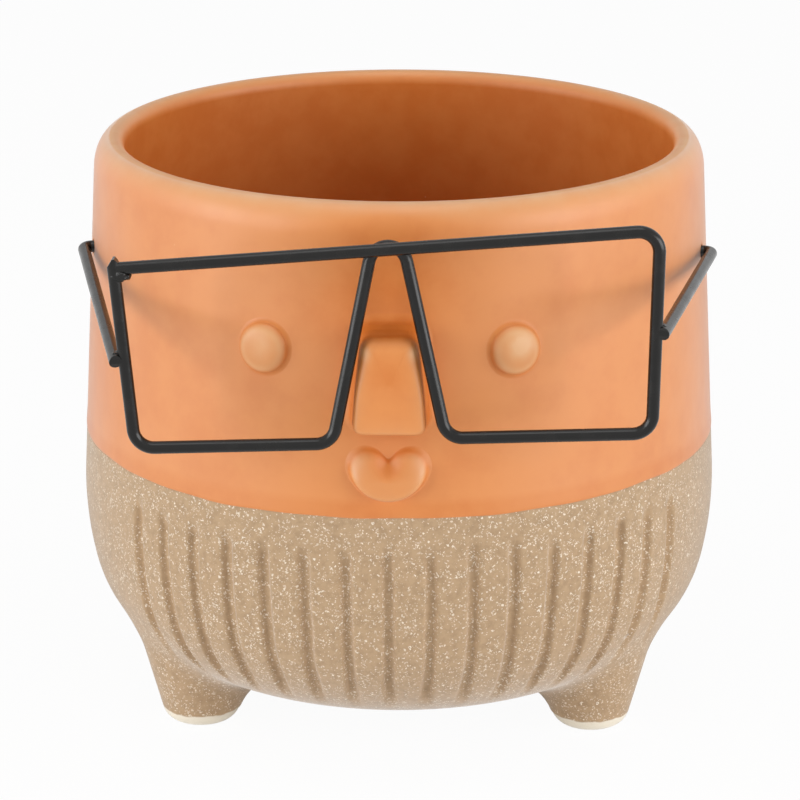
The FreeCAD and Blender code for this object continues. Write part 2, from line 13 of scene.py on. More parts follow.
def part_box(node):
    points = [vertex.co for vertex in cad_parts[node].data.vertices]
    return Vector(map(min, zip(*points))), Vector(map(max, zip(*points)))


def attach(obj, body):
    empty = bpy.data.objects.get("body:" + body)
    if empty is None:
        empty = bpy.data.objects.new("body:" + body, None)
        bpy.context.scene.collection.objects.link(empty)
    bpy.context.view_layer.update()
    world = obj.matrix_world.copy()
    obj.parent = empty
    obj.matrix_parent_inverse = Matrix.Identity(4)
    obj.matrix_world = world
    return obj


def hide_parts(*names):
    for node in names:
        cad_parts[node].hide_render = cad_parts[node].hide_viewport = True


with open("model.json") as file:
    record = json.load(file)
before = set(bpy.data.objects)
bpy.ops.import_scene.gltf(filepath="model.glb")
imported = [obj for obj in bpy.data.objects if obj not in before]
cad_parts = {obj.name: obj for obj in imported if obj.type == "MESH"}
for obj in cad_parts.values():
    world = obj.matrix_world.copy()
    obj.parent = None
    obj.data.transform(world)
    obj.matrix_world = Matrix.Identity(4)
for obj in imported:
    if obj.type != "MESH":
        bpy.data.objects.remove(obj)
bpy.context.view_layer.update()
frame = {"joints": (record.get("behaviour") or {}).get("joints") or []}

bl_info = {
    "name": "Face Planter",
    "version": (1, 0, 0),
    "blender": (4, 5, 0),
    "location": "View3D > Sidebar > Face Planter",
    "description": "Glazed face planter with a grooved stoneware bowl and wire glasses",
    "category": "Add Mesh",
}

swing = frame["joints"][0]["pos_m"]


# Sizes and colours


def length(name, description, default):
    """Size in metres."""
    return FloatProperty(
        name=name, description=description, default=default, min=0.0, precision=5, unit="LENGTH"
    )


def turn(name, description, degrees):
    """Angle, given in degrees."""
    return FloatProperty(
        name=name, description=description, default=math.radians(degrees), unit="ROTATION"
    )


def colour(name, description, default):
    """Linear colour of a finish."""
    return FloatVectorProperty(
        name=name, description=description, default=default, min=0.0, max=1.0, subtype="COLOR"
    )


class PotSizes(bpy.types.PropertyGroup):
    """Turned shape of the pot."""

    pot_radius: length("Belly radius", "Widest radius of the pot", 0.07597)
    belly_height: length("Belly height", "Height of the widest place", 0.054)
    pot_height: length("Pot height", "Height of the rim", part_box("upper_wall")[1].z)
    glaze_line: length("Glaze line", "Height where the glaze ends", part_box("upper_wall")[0].z)
    underside: length("Underside", "Height of the bowl's flat underside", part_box("ribbed_bowl")[0].z)
    wall: length("Wall", "Thickness of the wall", 0.007)
    wall_lean: turn("Wall lean", "How far the wall leans inwards", 3.1)
    bowl_radius: length("Bowl round", "Radius of the belly's outline", 0.080)
    corner_radius: length("Bowl corner", "Radius of the outline near the underside", 0.032)
    lip_inwards: length("Lip inwards", "How far the outer rounding of the rim reaches in", 0.0040)
    lip_downwards: length("Lip downwards", "How far the outer rounding reaches down", 0.0068)
    inner_lip: length("Inner lip", "Rounding of the rim's inner edge", 0.0023)
    drain_radius: length("Drain radius", "Radius of the drain hole", 0.005)
    hole_radius: length("Pin hole radius", "Radius of the holes for the glasses", 0.0017)
    hole_forward: length("Pin hole forward", "Pin holes in front of the pot's axis", 0.016)


class GrooveSizes(bpy.types.PropertyGroup):
    """Grooves down the front and the back of the bowl."""

    count: IntProperty(name="Grooves", description="Grooves on each side", default=16, min=1)
    first: IntProperty(name="First groove", description="Steps from the centre line", default=-7)
    pitch: turn("Groove pitch", "Turn from one groove to the next", 7.2)
    width: length("Groove width", "Width of a groove at its edges", 0.0039)
    depth: length("Groove depth", "Depth of a groove", 0.00135)
    flat: FloatProperty(name="Flat", description="Share of a groove that is flat", default=0.22, max=0.9)
    wander: length("Wander", "How far a groove strays from a straight line", 0.0012)
    uneven: length("Uneven tops", "How far the tops of the grooves differ", 0.0018)
    below_glaze: length("Below the glaze", "From the glaze line to a groove's round top", 0.0070)
    fade_high: length("Fade start", "Height where a groove starts to run out", 0.026)
    fade_low: length("Fade end", "Height where a groove has run out", 0.0165)


class FootSizes(bpy.types.PropertyGroup):
    """Three tapered feet that grow out of the bowl."""

    circle: length("Foot circle", "Radius of the circle that the feet stand on", 0.0532)
    spread: turn("Foot spread", "Turn from the centre line to a front foot", 60)
    base_radius: length("Foot base", "Radius of a foot at the ground", 0.0092)
    tuck: length("Foot tuck", "How much narrower a foot stands towards the middle", 0.0016)
    flare: turn("Foot flare", "How far a foot's side leans outwards", 15)
    edge: length("Foot edge", "Rounding of a foot's lower edge", 0.0042)
    shoulder: length("Foot shoulder", "Height where a foot's side turns back to the bowl", 0.022)
    blend: length("Foot blend", "Softness of the hollow between foot and bowl", 0.0068)
    blend_swing: length("Blend swing", "Less on the outer side, more on the inner", 0.0040)


class FaceSizes(bpy.types.PropertyGroup):
    """Nose, lips and eyes on the wall."""

    eye_angle: turn("Eye angle", "Turn from the centre line to an eye", 22)
    eye_height: length("Eye height", "Height of the eyes", 0.1057)
    eye_radius: length("Eye radius", "Radius of an eye", 0.0055)
    eye_proud: length("Eye relief", "How far an eye stands proud", 0.0028)
    nose_top: length("Nose top", "Height of the nose's top", 0.1119)
    nose_length: length("Nose length", "Length of the nose", 0.0213)
    nose_top_width: length("Nose top width", "Width of the front at the top", 0.0118)
    nose_bottom_width: length("Nose bottom width", "Width of the front at the bottom", 0.0143)
    nose_aside: length("Nose aside", "How far the nose sits off the centre line", 0.0004)
    nose_proud: length("Nose relief", "How far the nose stands proud", 0.0104)
    lips_height: length("Lips height", "Height of the middle of the lips", 0.0787)
    lips_width: length("Lips width", "Width of the lips", 0.0174)
    lips_depth: length("Lips depth", "From the top of the lobes to the lowest point", 0.0118)
    lips_notch: length("Lips notch", "Depth of the notch between the lobes", 0.0040)


class GlassesSizes(bpy.types.PropertyGroup):
    """Bent wire glasses."""

    wire: length("Wire", "Diameter of the wire", 0.0028)
    frame_height: length("Frame height", "Height of the middle of the frame", 0.111)
    roll: turn("Frame roll", "How far the frame hangs askew", 3.5)
    lean: turn("Frame lean", "How far the frame's sides lean over", 0.95)
    top_width: length("Top width", "Width of the frame along its top bar", 0.1172)
    bottom_width: length("Bottom width", "Width of the frame along its lower edge", 0.1118)
    left_lens: length("Left lens", "Height of the left lens", 0.0404)
    right_lens: length("Right lens", "Height of the right lens", 0.0451)
    bridge_opening: length("Bridge opening", "Width between the lenses' lower corners", 0.0246)
    bridge_peak: length("Bridge peak", "Where the bridge's two sides would meet", 0.03738)
    bridge_turn: turn("Bridge turn", "How much straighter the bridge stands on the nose", 2.0)
    bridge_seat: length("Bridge seat", "Where the bridge sits, above the frame's middle", 0.0009)
    bend_radius: length("Bend radius", "Radius of the frame's corners", 0.0044)
    arch_radius: length("Arch radius", "Radius of the bridge's bend", 0.00412)
    corner_inset: length("Corner inset", "How far the left top corner is bent in", 0.0009)
    corner_stub: length("Corner stub", "Cut end of the wire above the top bar", 0.0024)
    temple_set: length("Temple set", "Temple outside the frame's side wire", 0.0017)
    temple_stub: length("Temple stub", "Cut end of a temple in front of the frame", 0.0016)
    hook_side: length("Hook side", "Hook of a temple from the centre line", 0.07349)
    hook_radius: length("Hook radius", "Radius of the hook's bend", 0.0018)
    pin_end: length("Pin end", "End of a pivot pin from the centre line", 0.0609)


class Finishes(bpy.types.PropertyGroup):
    """Colours of the glaze, the clay and the wire."""

    glaze: colour("Glaze", "Orange satin glaze", (0.765, 0.272, 0.066))
    glaze_deep: colour("Deep glaze", "Where the glaze lies a little thicker", (0.715, 0.232, 0.050))
    # The thin-glaze colour also paints highlights on the nose and eyes. The pooled colour also paints shade
    # inside the pot, by the nose and in the lips' notch.
    glaze_thin_and_highlight: colour("Thin glaze", "Where the glaze runs thin over an edge", (0.82, 0.445, 0.205))
    glaze_pool_and_shade: colour("Pooled glaze", "Where the glaze has pooled in a hollow", (0.640, 0.172, 0.028))
    clay: colour("Clay", "Bare body of the bowl", (0.530, 0.362, 0.214))
    clay_dark: colour("Dark clay", "Darker patches and pores", (0.430, 0.288, 0.164))
    fleck: colour("Fleck", "Pale grains in the clay", (0.95, 0.85, 0.71))
    tip: colour("Foot tip", "Wiped clay under the feet", (0.96, 0.89, 0.75))
    wire: colour("Wire", "Satin black coat", (0.0062, 0.0056, 0.0050))
    wire_worn: colour("Wire sheen", "Slightly greyer places of the coat", (0.0100, 0.0092, 0.0084))


class FacePlanter(bpy.types.PropertyGroup):
    """All sizes and finishes of the planter."""

    pot: PointerProperty(type=PotSizes)
    grooves: PointerProperty(type=GrooveSizes)
    feet: PointerProperty(type=FootSizes)
    face: PointerProperty(type=FaceSizes)
    glasses: PointerProperty(type=GlassesSizes)
    finish: PointerProperty(type=Finishes)


# Shape of the pot


def smooth(low, high, value):
    """Soft step from 0 at low to 1 at high."""
    part = np.clip((value - low) / (high - low), 0.0, 1.0)
    return part * part * (3 - 2 * part)


class Side:
    """Outline of the pot's side: two tangent arcs from the underside, then the leaning wall."""

    def __init__(self, pot):
        self.pot = pot
        self.axis_y = swing[1] + pot.hole_forward
        self.bowl = np.array((pot.pot_radius - pot.bowl_radius, pot.belly_height))
        corner_height = pot.underside + pot.corner_radius
        drop = pot.belly_height - corner_height
        reach = pot.bowl_radius - pot.corner_radius
        self.corner = np.array((self.bowl[0] + math.sqrt(reach**2 - drop**2), corner_height))
        self.join = -math.asin(drop / reach)

    def wall_radius(self, height, inset=0.0):
        """Radius of the leaning wall at a height."""
        reach = self.pot.bowl_radius - inset
        lean = self.pot.wall_lean
        start = self.bowl + reach * np.array((math.cos(lean), math.sin(lean)))
        return start[0] - (height - start[1]) * math.tan(lean)

    def climb(self, inset, high, arc_steps, wall_heights):
        """Radius and height of points from the edge of the underside up to the wall."""
        rows = []
        arcs = (
            (self.corner, self.pot.corner_radius, -math.pi / 2, self.join, arc_steps[0]),
            (self.bowl, self.pot.bowl_radius, self.join, self.pot.wall_lean, arc_steps[1]),
        )
        for centre, radius, first, last, steps in arcs:
            for angle in np.linspace(first, last, steps, endpoint=False):
                reach = radius - inset
                rows.append(centre + reach * np.array((math.cos(angle), math.sin(angle))))
        shoulder = self.bowl[1] + (self.pot.bowl_radius - inset) * math.sin(self.pot.wall_lean)
        for height in np.linspace(shoulder, high, wall_heights):
            rows.append(np.array((self.wall_radius(height, inset), height)))
        return rows

    def distance(self, radius, height):
        """Distance of a point outside the bowl."""
        to_corner = np.hypot(radius - self.corner[0], height - self.corner[1])
        to_bowl = np.hypot(radius - self.bowl[0], height - self.bowl[1])
        angle = np.arctan2(height - self.corner[1], radius - self.corner[0])
        rounded = np.where(
            angle < self.join, to_corner - self.pot.corner_radius, to_bowl - self.pot.bowl_radius
        )
        return np.where(radius < self.corner[0], self.pot.underside - height, rounded)

    def place(self, angle, radius, height):
        """Point in the planter's frame, with the angle from the face towards its left hand."""
        x = radius * np.sin(angle)
        y = self.axis_y - radius * np.cos(angle)
        return np.stack(np.broadcast_arrays(x, y, height), axis=-1)

    def on_wall(self, azimuth, across, height, proud):
        """Point that stands proud of the wall, an arc's length across from an azimuth."""
        radius = self.wall_radius(height)
        return self.place(azimuth + across / radius, radius + proud, height)


def glaze_edge(pot, angle):
    """Height of the glaze's lower edge, a little uneven as it was dipped by hand."""
    wave = 0.5 * np.sin(3 * angle + 0.6) + 0.3 * np.sin(7 * angle + 2.1)
    wave = wave + 0.25 * np.sin(16 * angle + 0.3) + 0.18 * np.sin(29 * angle + 1.2)
    return pot.glaze_line - 0.00050 + 0.00032 * wave


# Meshes


def shell(name, rows, loop=False, **attributes):
    """Closed piece through rows of points that run round it.

    The rows join up in a loop, or the first and the last are closed by their middle points.
    Each attribute holds one value for each point.
    """
    count, around = rows.shape[:2]
    points = rows.reshape(-1, 3)
    values = {key: np.asarray(value, float).reshape(-1) for key, value in attributes.items()}
    here = np.arange(around)
    after = (here + 1) % around
    faces = []
    for row in range(count if loop else count - 1):
        low, high = row * around, (row + 1) % count * around
        faces += np.stack((low + here, low + after, high + after, high + here), 1).tolist()
    if not loop:
        top = (count - 1) * around
        points = np.vstack((points, rows[0].mean(0), rows[-1].mean(0)))
        faces += [(count * around, b, a) for a, b in zip(here.tolist(), after.tolist())]
        ends = zip((top + here).tolist(), (top + after).tolist())
        faces += [(count * around + 1, a, b) for a, b in ends]
        for key, value in values.items():
            values[key] = np.append(value, (value[0], value[-1]))
    mesh = bpy.data.meshes.new(name)
    mesh.from_pydata(points.tolist(), [], faces)
    for key, value in values.items():
        mesh.attributes.new(key, "FLOAT", "POINT").data.foreach_set("value", value)
    mesh.shade_smooth()
    return add_piece(name, mesh)


def add_piece(name, mesh):
    """Object for a mesh, at the origin."""
    piece = bpy.data.objects.new(name, mesh)
    bpy.context.scene.collection.objects.link(piece)
    return piece


def settle(piece):
    """Turns what the modifiers make into the piece's own plain mesh."""
    depsgraph = bpy.context.evaluated_depsgraph_get()
    made = bpy.data.meshes.new_from_object(
        piece.evaluated_get(depsgraph), preserve_all_data_layers=True, depsgraph=depsgraph
    )
    piece.modifiers.clear()
    blank, piece.data = piece.data, made
    made.name = piece.name
    bpy.data.meshes.remove(blank)


def hand_over(piece, body, slot, *nodes):
    """Lets a piece ride on its body and stand for its solids."""
    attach(piece, body)
    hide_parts(*nodes)


# Node trees


def add_node(tree, kind, fill=(), **settings):
    """New node with its settings, whose sockets are linked or filled by name or place."""
    item = tree.nodes.new(kind)
    for key, value in settings.items():
        setattr(item, key, value)
    for key, value in dict(fill).items():
        if isinstance(value, bpy.types.NodeSocket):
            tree.links.new(value, item.inputs[key])
        else:
            item.inputs[key].default_value = value
    return item


def reckon(tree, operation, *values):
    """Output of a maths node."""
    return add_node(tree, "ShaderNodeMath", enumerate(values), operation=operation).outputs[0]


def start_tree(name, inputs):
    """Geometry node tree with a geometry in, a geometry out and named inputs."""
    tree = bpy.data.node_groups.new(name, "GeometryNodeTree")
    tree.interface.new_socket("Geometry", in_out="OUTPUT", socket_type="NodeSocketGeometry")
    tree.interface.new_socket("Geometry", in_out="INPUT", socket_type="NodeSocketGeometry")
    for key, kind in inputs.items():
        tree.interface.new_socket(key, in_out="INPUT", socket_type=kind)
    return tree, tree.nodes.new("NodeGroupInput").outputs


def run_tree(piece, tree, values):
    """Runs a tree on a piece with these values and keeps the result as a plain mesh."""
    modifier = piece.modifiers.new(tree.name, "NODES")
    modifier.node_group = tree
    for item in tree.interface.items_tree:
        if item.in_out == "INPUT" and item.name in values:
            modifier[item.identifier] = values[item.name]
    settle(piece)


def grooves_tree():
    """Tree that presses the grooves into the bowl and into the feet's upper ends."""
    number, whole = "NodeSocketFloat", "NodeSocketInt"
    tree, given = start_tree(
        "press_grooves",
        {
            "Axis": number,
            "Pitch": number,
            "First": whole,
            "Last": whole,
            "Width": number,
            "Depth": number,
            "Flat": number,
            "Top": number,
            "Uneven": number,
            "Wander": number,
            "Clay": "NodeSocketMaterial",
            "Lining": "NodeSocketMaterial",
        },
    )
    position = add_node(tree, "GeometryNodeInputPosition").outputs[0]
    part = add_node(tree, "ShaderNodeSeparateXYZ", {0: position}).outputs
    towards_face = reckon(tree, "SUBTRACT", given["Axis"], part["Y"])
    angle = reckon(tree, "ARCTAN2", part["X"], towards_face)
    half = math.pi / 2
    front_or_back = reckon(tree, "WRAP", angle, half, -half)
    step = reckon(tree, "ROUND", reckon(tree, "DIVIDE", front_or_back, given["Pitch"]))
    step = reckon(tree, "MINIMUM", reckon(tree, "MAXIMUM", step, given["First"]), given["Last"])
    off = reckon(tree, "SUBTRACT", front_or_back, reckon(tree, "MULTIPLY", step, given["Pitch"]))
    square = reckon(tree, "MULTIPLY", part["X"], part["X"])
    radius = reckon(tree, "SQRT", reckon(tree, "MULTIPLY_ADD", towards_face, towards_face, square))
    wander = add_node(tree, "ShaderNodeTexNoise", {"Vector": position, "Scale": 55.0, "Detail": 1.0})
    half_wander = reckon(tree, "MULTIPLY", given["Wander"], -0.5)
    wander = reckon(tree, "MULTIPLY_ADD", wander.outputs[0], given["Wander"], half_wander)
    across = reckon(tree, "MULTIPLY_ADD", off, radius, wander)
    draw = add_node(tree, "ShaderNodeTexWhiteNoise", {"W": step}, noise_dimensions="1D").outputs[0]
    top = reckon(tree, "MULTIPLY_ADD", draw, given["Uneven"], given["Top"])
    above = reckon(tree, "MAXIMUM", reckon(tree, "SUBTRACT", part["Z"], top), 0.0)
    square = reckon(tree, "MULTIPLY", above, above)
    away = reckon(tree, "SQRT", reckon(tree, "MULTIPLY_ADD", across, across, square))
    half_width = reckon(tree, "MULTIPLY", given["Width"], 0.5)
    share = reckon(tree, "DIVIDE", away, half_width)
    bank = span(tree, share, given["Flat"], 1.0, smoothly=False)
    swell = reckon(tree, "COSINE", reckon(tree, "MULTIPLY", bank, math.pi))
    hollow = reckon(tree, "MULTIPLY_ADD", swell, 0.5, 0.5)
    start = reckon(tree, "ADD", top, 0.0018)
    ramp = span(tree, part["Z"], start, reckon(tree, "SUBTRACT", start, 0.0060))
    run = add_node(tree, "GeometryNodeInputNamedAttribute", {"Name": "groove"}, data_type="FLOAT")
    run = reckon(tree, "MULTIPLY", run.outputs[0], ramp)
    press = reckon(tree, "MULTIPLY", reckon(tree, "MULTIPLY", hollow, run), given["Depth"])
    normal = add_node(tree, "GeometryNodeInputNormal").outputs[0]
    inwards = add_node(
        tree,
        "ShaderNodeVectorMath",
        {0: normal, "Scale": reckon(tree, "MULTIPLY", press, -1.0)},
        operation="SCALE",
    )
    pressed = add_node(
        tree, "GeometryNodeSetPosition", {"Geometry": given[0], "Offset": inwards.outputs[0]}
    )
    joined = add_node(tree, "GeometryNodeRealizeInstances", {0: pressed.outputs[0]})
    lined = add_node(
        tree,
        "GeometryNodeSetMaterial",
        {"Geometry": joined.outputs[0], "Material": given["Lining"]},
    )
    outside = add_node(
        tree, "GeometryNodeInputNamedAttribute", {"Name": "outside"}, data_type="FLOAT"
    )
    bare = reckon(tree, "GREATER_THAN", outside.outputs[0], 0.5)
    clad = add_node(
        tree,
        "GeometryNodeSetMaterial",
        {"Geometry": lined.outputs[0], "Selection": bare, "Material": given["Clay"]},
    )
    add_node(tree, "NodeGroupOutput", {0: clad.outputs[0]})
    return tree


def wire_tree():
    """Tree that bends a wire along a line of points, each with its own bend radius."""
    tree, given = start_tree(
        "bend_wire",
        {
            "Radius": "NodeSocketFloat",
            "Bend Steps": "NodeSocketInt",
            "Sides": "NodeSocketInt",
            "Coat": "NodeSocketMaterial",
        },
    )
    line = add_node(tree, "GeometryNodeMeshToCurve", {"Mesh": given[0]})
    bend = add_node(tree, "GeometryNodeInputNamedAttribute", {"Name": "bend"}, data_type="FLOAT")
    bent = add_node(
        tree,
        "GeometryNodeFilletCurve",
        {
            "Curve": line.outputs[0],
            "Count": given["Bend Steps"],
            "Radius": bend.outputs[0],
            "Limit Radius": True,
        },
        mode="POLY",
    )
    section = add_node(
        tree,
        "GeometryNodeCurvePrimitiveCircle",
        {"Resolution": given["Sides"], "Radius": given["Radius"]},
    )
    drawn = add_node(
        tree,
        "GeometryNodeCurveToMesh",
        {
            "Curve": bent.outputs[0],
            "Profile Curve": section.outputs[0],
            "Fill Caps": True,
        },
    )
    joined = add_node(tree, "GeometryNodeRealizeInstances", {0: drawn.outputs[0]})
    coated = add_node(
        tree,
        "GeometryNodeSetMaterial",
        {"Geometry": joined.outputs[0], "Material": given["Coat"]},
    )
    add_node(tree, "NodeGroupOutput", {0: coated.outputs[0]})
    return tree


# Finishes


def start_finish(name, roughness):
    """Material with its shader and the object's own coordinates."""
    material = bpy.data.materials.new(name)
    material.use_nodes = True
    tree = material.node_tree
    shader = tree.nodes["Principled BSDF"]
    shader.inputs["Roughness"].default_value = roughness
    place = add_node(tree, "ShaderNodeTexCoord").outputs["Object"]
    return material, tree, shader, place


def grain(tree, place, scale, detail=2.0, roughness=0.5):
    """Noise value over a surface."""
    fill = {"Vector": place, "Scale": scale, "Detail": detail, "Roughness": roughness}
    return add_node(tree, "ShaderNodeTexNoise", fill).outputs[0]


def span(tree, value, low, high, to_low=0.0, to_high=1.0, smoothly=True):
    """Value taken from one range to another and held at its ends."""
    kind = "SMOOTHSTEP" if smoothly else "LINEAR"
    fill = {0: value, 1: low, 2: high, 3: to_low, 4: to_high}
    return add_node(tree, "ShaderNodeMapRange", fill, interpolation_type=kind).outputs[0]


def blend(tree, share, one, other):
    """Mix of two colours."""
    colours = [value if isinstance(value, bpy.types.NodeSocket) else (*value, 1.0) for value in (one, other)]
    fill = {0: share, 6: colours[0], 7: colours[1]}
    return add_node(tree, "ShaderNodeMix", fill, data_type="RGBA").outputs[2]


def relief(tree, height, strength, distance, under=None):
    """Bump from a height value."""
    fill = {"Height": height, "Strength": strength, "Distance": distance}
    if under is not None:
        fill["Normal"] = under
    return add_node(tree, "ShaderNodeBump", fill).outputs[0]


def glaze_finish(finish):
    """Orange satin glaze: mottled, thin over edges, pooled in hollows, with a few pin marks. Its pale and
    dark colours also carry painted highlights on the nose and eyes and painted shade inside the pot, around
    the nose and in the lips' notch.
    """
    material, tree, shader, place = start_finish("orange_glaze", 0.40)
    shader.inputs["IOR"].default_value = 1.60
    bloom = add_node(tree, "ShaderNodeAttribute", attribute_name="bloom").outputs["Fac"]
    tree.links.new(reckon(tree, "MULTIPLY", bloom, 0.72), shader.inputs["Sheen Weight"])
    shader.inputs["Sheen Roughness"].default_value = 0.45
    drift = grain(tree, place, 28.0, 3.0, 0.55)
    mottle = grain(tree, place, 130.0, 3.0, 0.6)
    uneven = reckon(tree, "MULTIPLY_ADD", mottle, 0.45, reckon(tree, "MULTIPLY", drift, 0.55))
    tone = blend(tree, span(tree, uneven, 0.40, 0.66), finish.glaze, finish.glaze_deep)
    lay = add_node(tree, "ShaderNodeAttribute", attribute_name="glaze").outputs["Fac"]
    gloss = span(tree, lay, -1.0, 0.0, 0.06, 0.5, smoothly=False)
    tree.links.new(gloss, shader.inputs["Specular IOR Level"])
    # Positive glaze values lean to the pale colour and negative ones to the dark colour. Both carry real thin
    # and pooled glaze as well as painted highlights and painted shade.
    broken = reckon(tree, "MULTIPLY", lay, span(tree, mottle, 0.3, 0.7, 0.75, 1.15))
    tone = blend(tree, span(tree, broken, 0.0, 1.0, smoothly=False), tone, finish.glaze_thin_and_highlight)
    tone = blend(tree, span(tree, broken, 0.0, -1.0, smoothly=False), tone, finish.glaze_pool_and_shade)
    cells = add_node(tree, "ShaderNodeTexVoronoi", {"Vector": place, "Scale": 210.0})
    parts = add_node(tree, "ShaderNodeSeparateColor", {0: cells.outputs["Color"]})
    chosen = reckon(tree, "GREATER_THAN", parts.outputs[0], 0.90)
    mark = reckon(tree, "MULTIPLY", span(tree, cells.outputs["Distance"], 0.065, 0.04), chosen)
    tone = blend(tree, reckon(tree, "MULTIPLY", mark, 0.55), tone, finish.glaze_thin_and_highlight)
    tree.links.new(tone, shader.inputs["Base Color"])
    tree.links.new(span(tree, drift, 0.3, 0.7, 0.44, 0.54), shader.inputs["Roughness"])
    waves = relief(tree, grain(tree, place, 70.0, 2.0), 0.35, 0.0006)
    peel = relief(tree, grain(tree, place, 900.0, 2.0), 0.10, 0.0001, waves)
    pits = relief(tree, mark, -0.5, 0.0001, peel)
    tree.links.new(pits, shader.inputs["Normal"])
    return material


def flecks(tree, place, ragged, scale, reach, share, thicker):
    """Grains of one size: a share of the cells hold one, more of them where the clay is coarse."""
    cells = add_node(tree, "ShaderNodeTexVoronoi", {"Vector": place, "Scale": scale})
    draw = add_node(tree, "ShaderNodeSeparateColor", {0: cells.outputs["Color"]}).outputs
    chosen = reckon(tree, "LESS_THAN", draw[0], reckon(tree, "MULTIPLY", thicker, share))
    size = span(tree, draw[1], 0.0, 1.0, 0.55 * reach, 1.25 * reach, smoothly=False)
    edge = reckon(tree, "SUBTRACT", reckon(tree, "ADD", size, ragged), cells.outputs["Distance"])
    spot = span(tree, edge, 0.0, 0.05)
    bright = span(tree, draw[2], 0.0, 1.0, 0.35, 1.0, smoothly=False)
    return reckon(tree, "MULTIPLY", reckon(tree, "MULTIPLY", spot, chosen), bright)


def stoneware_finish(finish):
    """Bare speckled clay with dense pale flecks, wiped to cream under the feet."""
    material, tree, shader, place = start_finish("speckled_stoneware", 0.86)
    shift = add_node(tree, "ShaderNodeTexNoise", {"Vector": place, "Scale": 1500.0, "Detail": 1.0})
    jitter = add_node(
        tree,
        "ShaderNodeVectorMath",
        {0: shift.outputs["Color"], 1: (0.0011, 0.0011, 0.0011), 2: place},
        operation="MULTIPLY_ADD",
    ).outputs[0]
    clusters = span(tree, grain(tree, place, 170.0, 3.0, 0.6), 0.34, 0.66, 0.45, 1.5)
    ragged = span(tree, grain(tree, place, 2600.0, 1.0), 0.2, 0.8, -0.16, 0.16, smoothly=False)
    coarse = flecks(tree, jitter, ragged, 1050.0, 0.27, 0.60, clusters)
    fine = flecks(tree, jitter, ragged, 1750.0, 0.33, 0.62, clusters)
    pale = reckon(tree, "MAXIMUM", coarse, fine)
    patches = grain(tree, place, 520.0, 5.0, 0.75)
    body = blend(tree, span(tree, patches, 0.38, 0.70), finish.clay, finish.clay_dark)
    body = blend(tree, pale, body, finish.fleck)
    height = add_node(tree, "ShaderNodeSeparateXYZ", {0: place}).outputs["Z"]
    wiped = reckon(tree, "MULTIPLY_ADD", grain(tree, place, 300.0), -0.0012, height)
    body = blend(tree, span(tree, wiped, 0.0031, 0.0026), body, finish.tip)
    tree.links.new(body, shader.inputs["Base Color"])
    tree.links.new(span(tree, pale, 0.0, 1.0, 0.88, 0.70), shader.inputs["Roughness"])
    shader.inputs["Specular IOR Level"].default_value = 0.35
    shader.inputs["Sheen Weight"].default_value = 0.62
    shader.inputs["Sheen Roughness"].default_value = 0.45
    rough = relief(tree, grain(tree, place, 1100.0, 3.0, 0.65), 0.45, 0.00016)
    tree.links.new(relief(tree, pale, 0.35, 0.00010, rough), shader.inputs["Normal"])
    return material


def wire_finish(finish):
    """Satin black coat with a fine skin and a few greyer places."""
    material, tree, shader, place = start_finish("satin_black_wire", 0.36)
    patch = grain(tree, place, 160.0, 3.0, 0.6)
    tree.links.new(
        blend(tree, span(tree, patch, 0.45, 0.75), finish.wire, finish.wire_worn),
        shader.inputs["Base Color"],
    )
    tree.links.new(span(tree, patch, 0.3, 0.7, 0.20, 0.30), shader.inputs["Roughness"])
    shader.inputs["Specular IOR Level"].default_value = 0.34
    skin = relief(tree, grain(tree, place, 1400.0, 2.0), 0.16, 0.00008)
    tree.links.new(relief(tree, grain(tree, place, 240.0, 2.0), 0.22, 0.00025, skin), shader.inputs["Normal"])
    return material


def finish_named(name):
    """Finish that an earlier step has made."""
    return bpy.data.materials[name]


# Operators


class PLANTER_OT_finishes(bpy.types.Operator):
    """Mix the glaze, the speckled clay and the black coat"""

    bl_idname = "planter.finishes"
    bl_label = "Finishes"

    def execute(self, context):
        finish = context.scene.face_planter.finish
        glaze_finish(finish)
        stoneware_finish(finish)
        wire_finish(finish)
        return {"FINISHED"}


def painted_nose_shade(face, across, height):
    """Painted shade on the wall above the nose, between the glasses' bridge wires, and a painted shadow just
    below the nose.
    """
    above = np.exp(-((across / 0.013) ** 2) - ((height - face.nose_top - 0.011) / 0.015) ** 2)
    low = face.nose_top - face.nose_length
    below = np.exp(-((across / 0.0075) ** 2) - ((height - low + 0.0012) / 0.0026) ** 2)
    return -0.75 * above - 0.5 * below


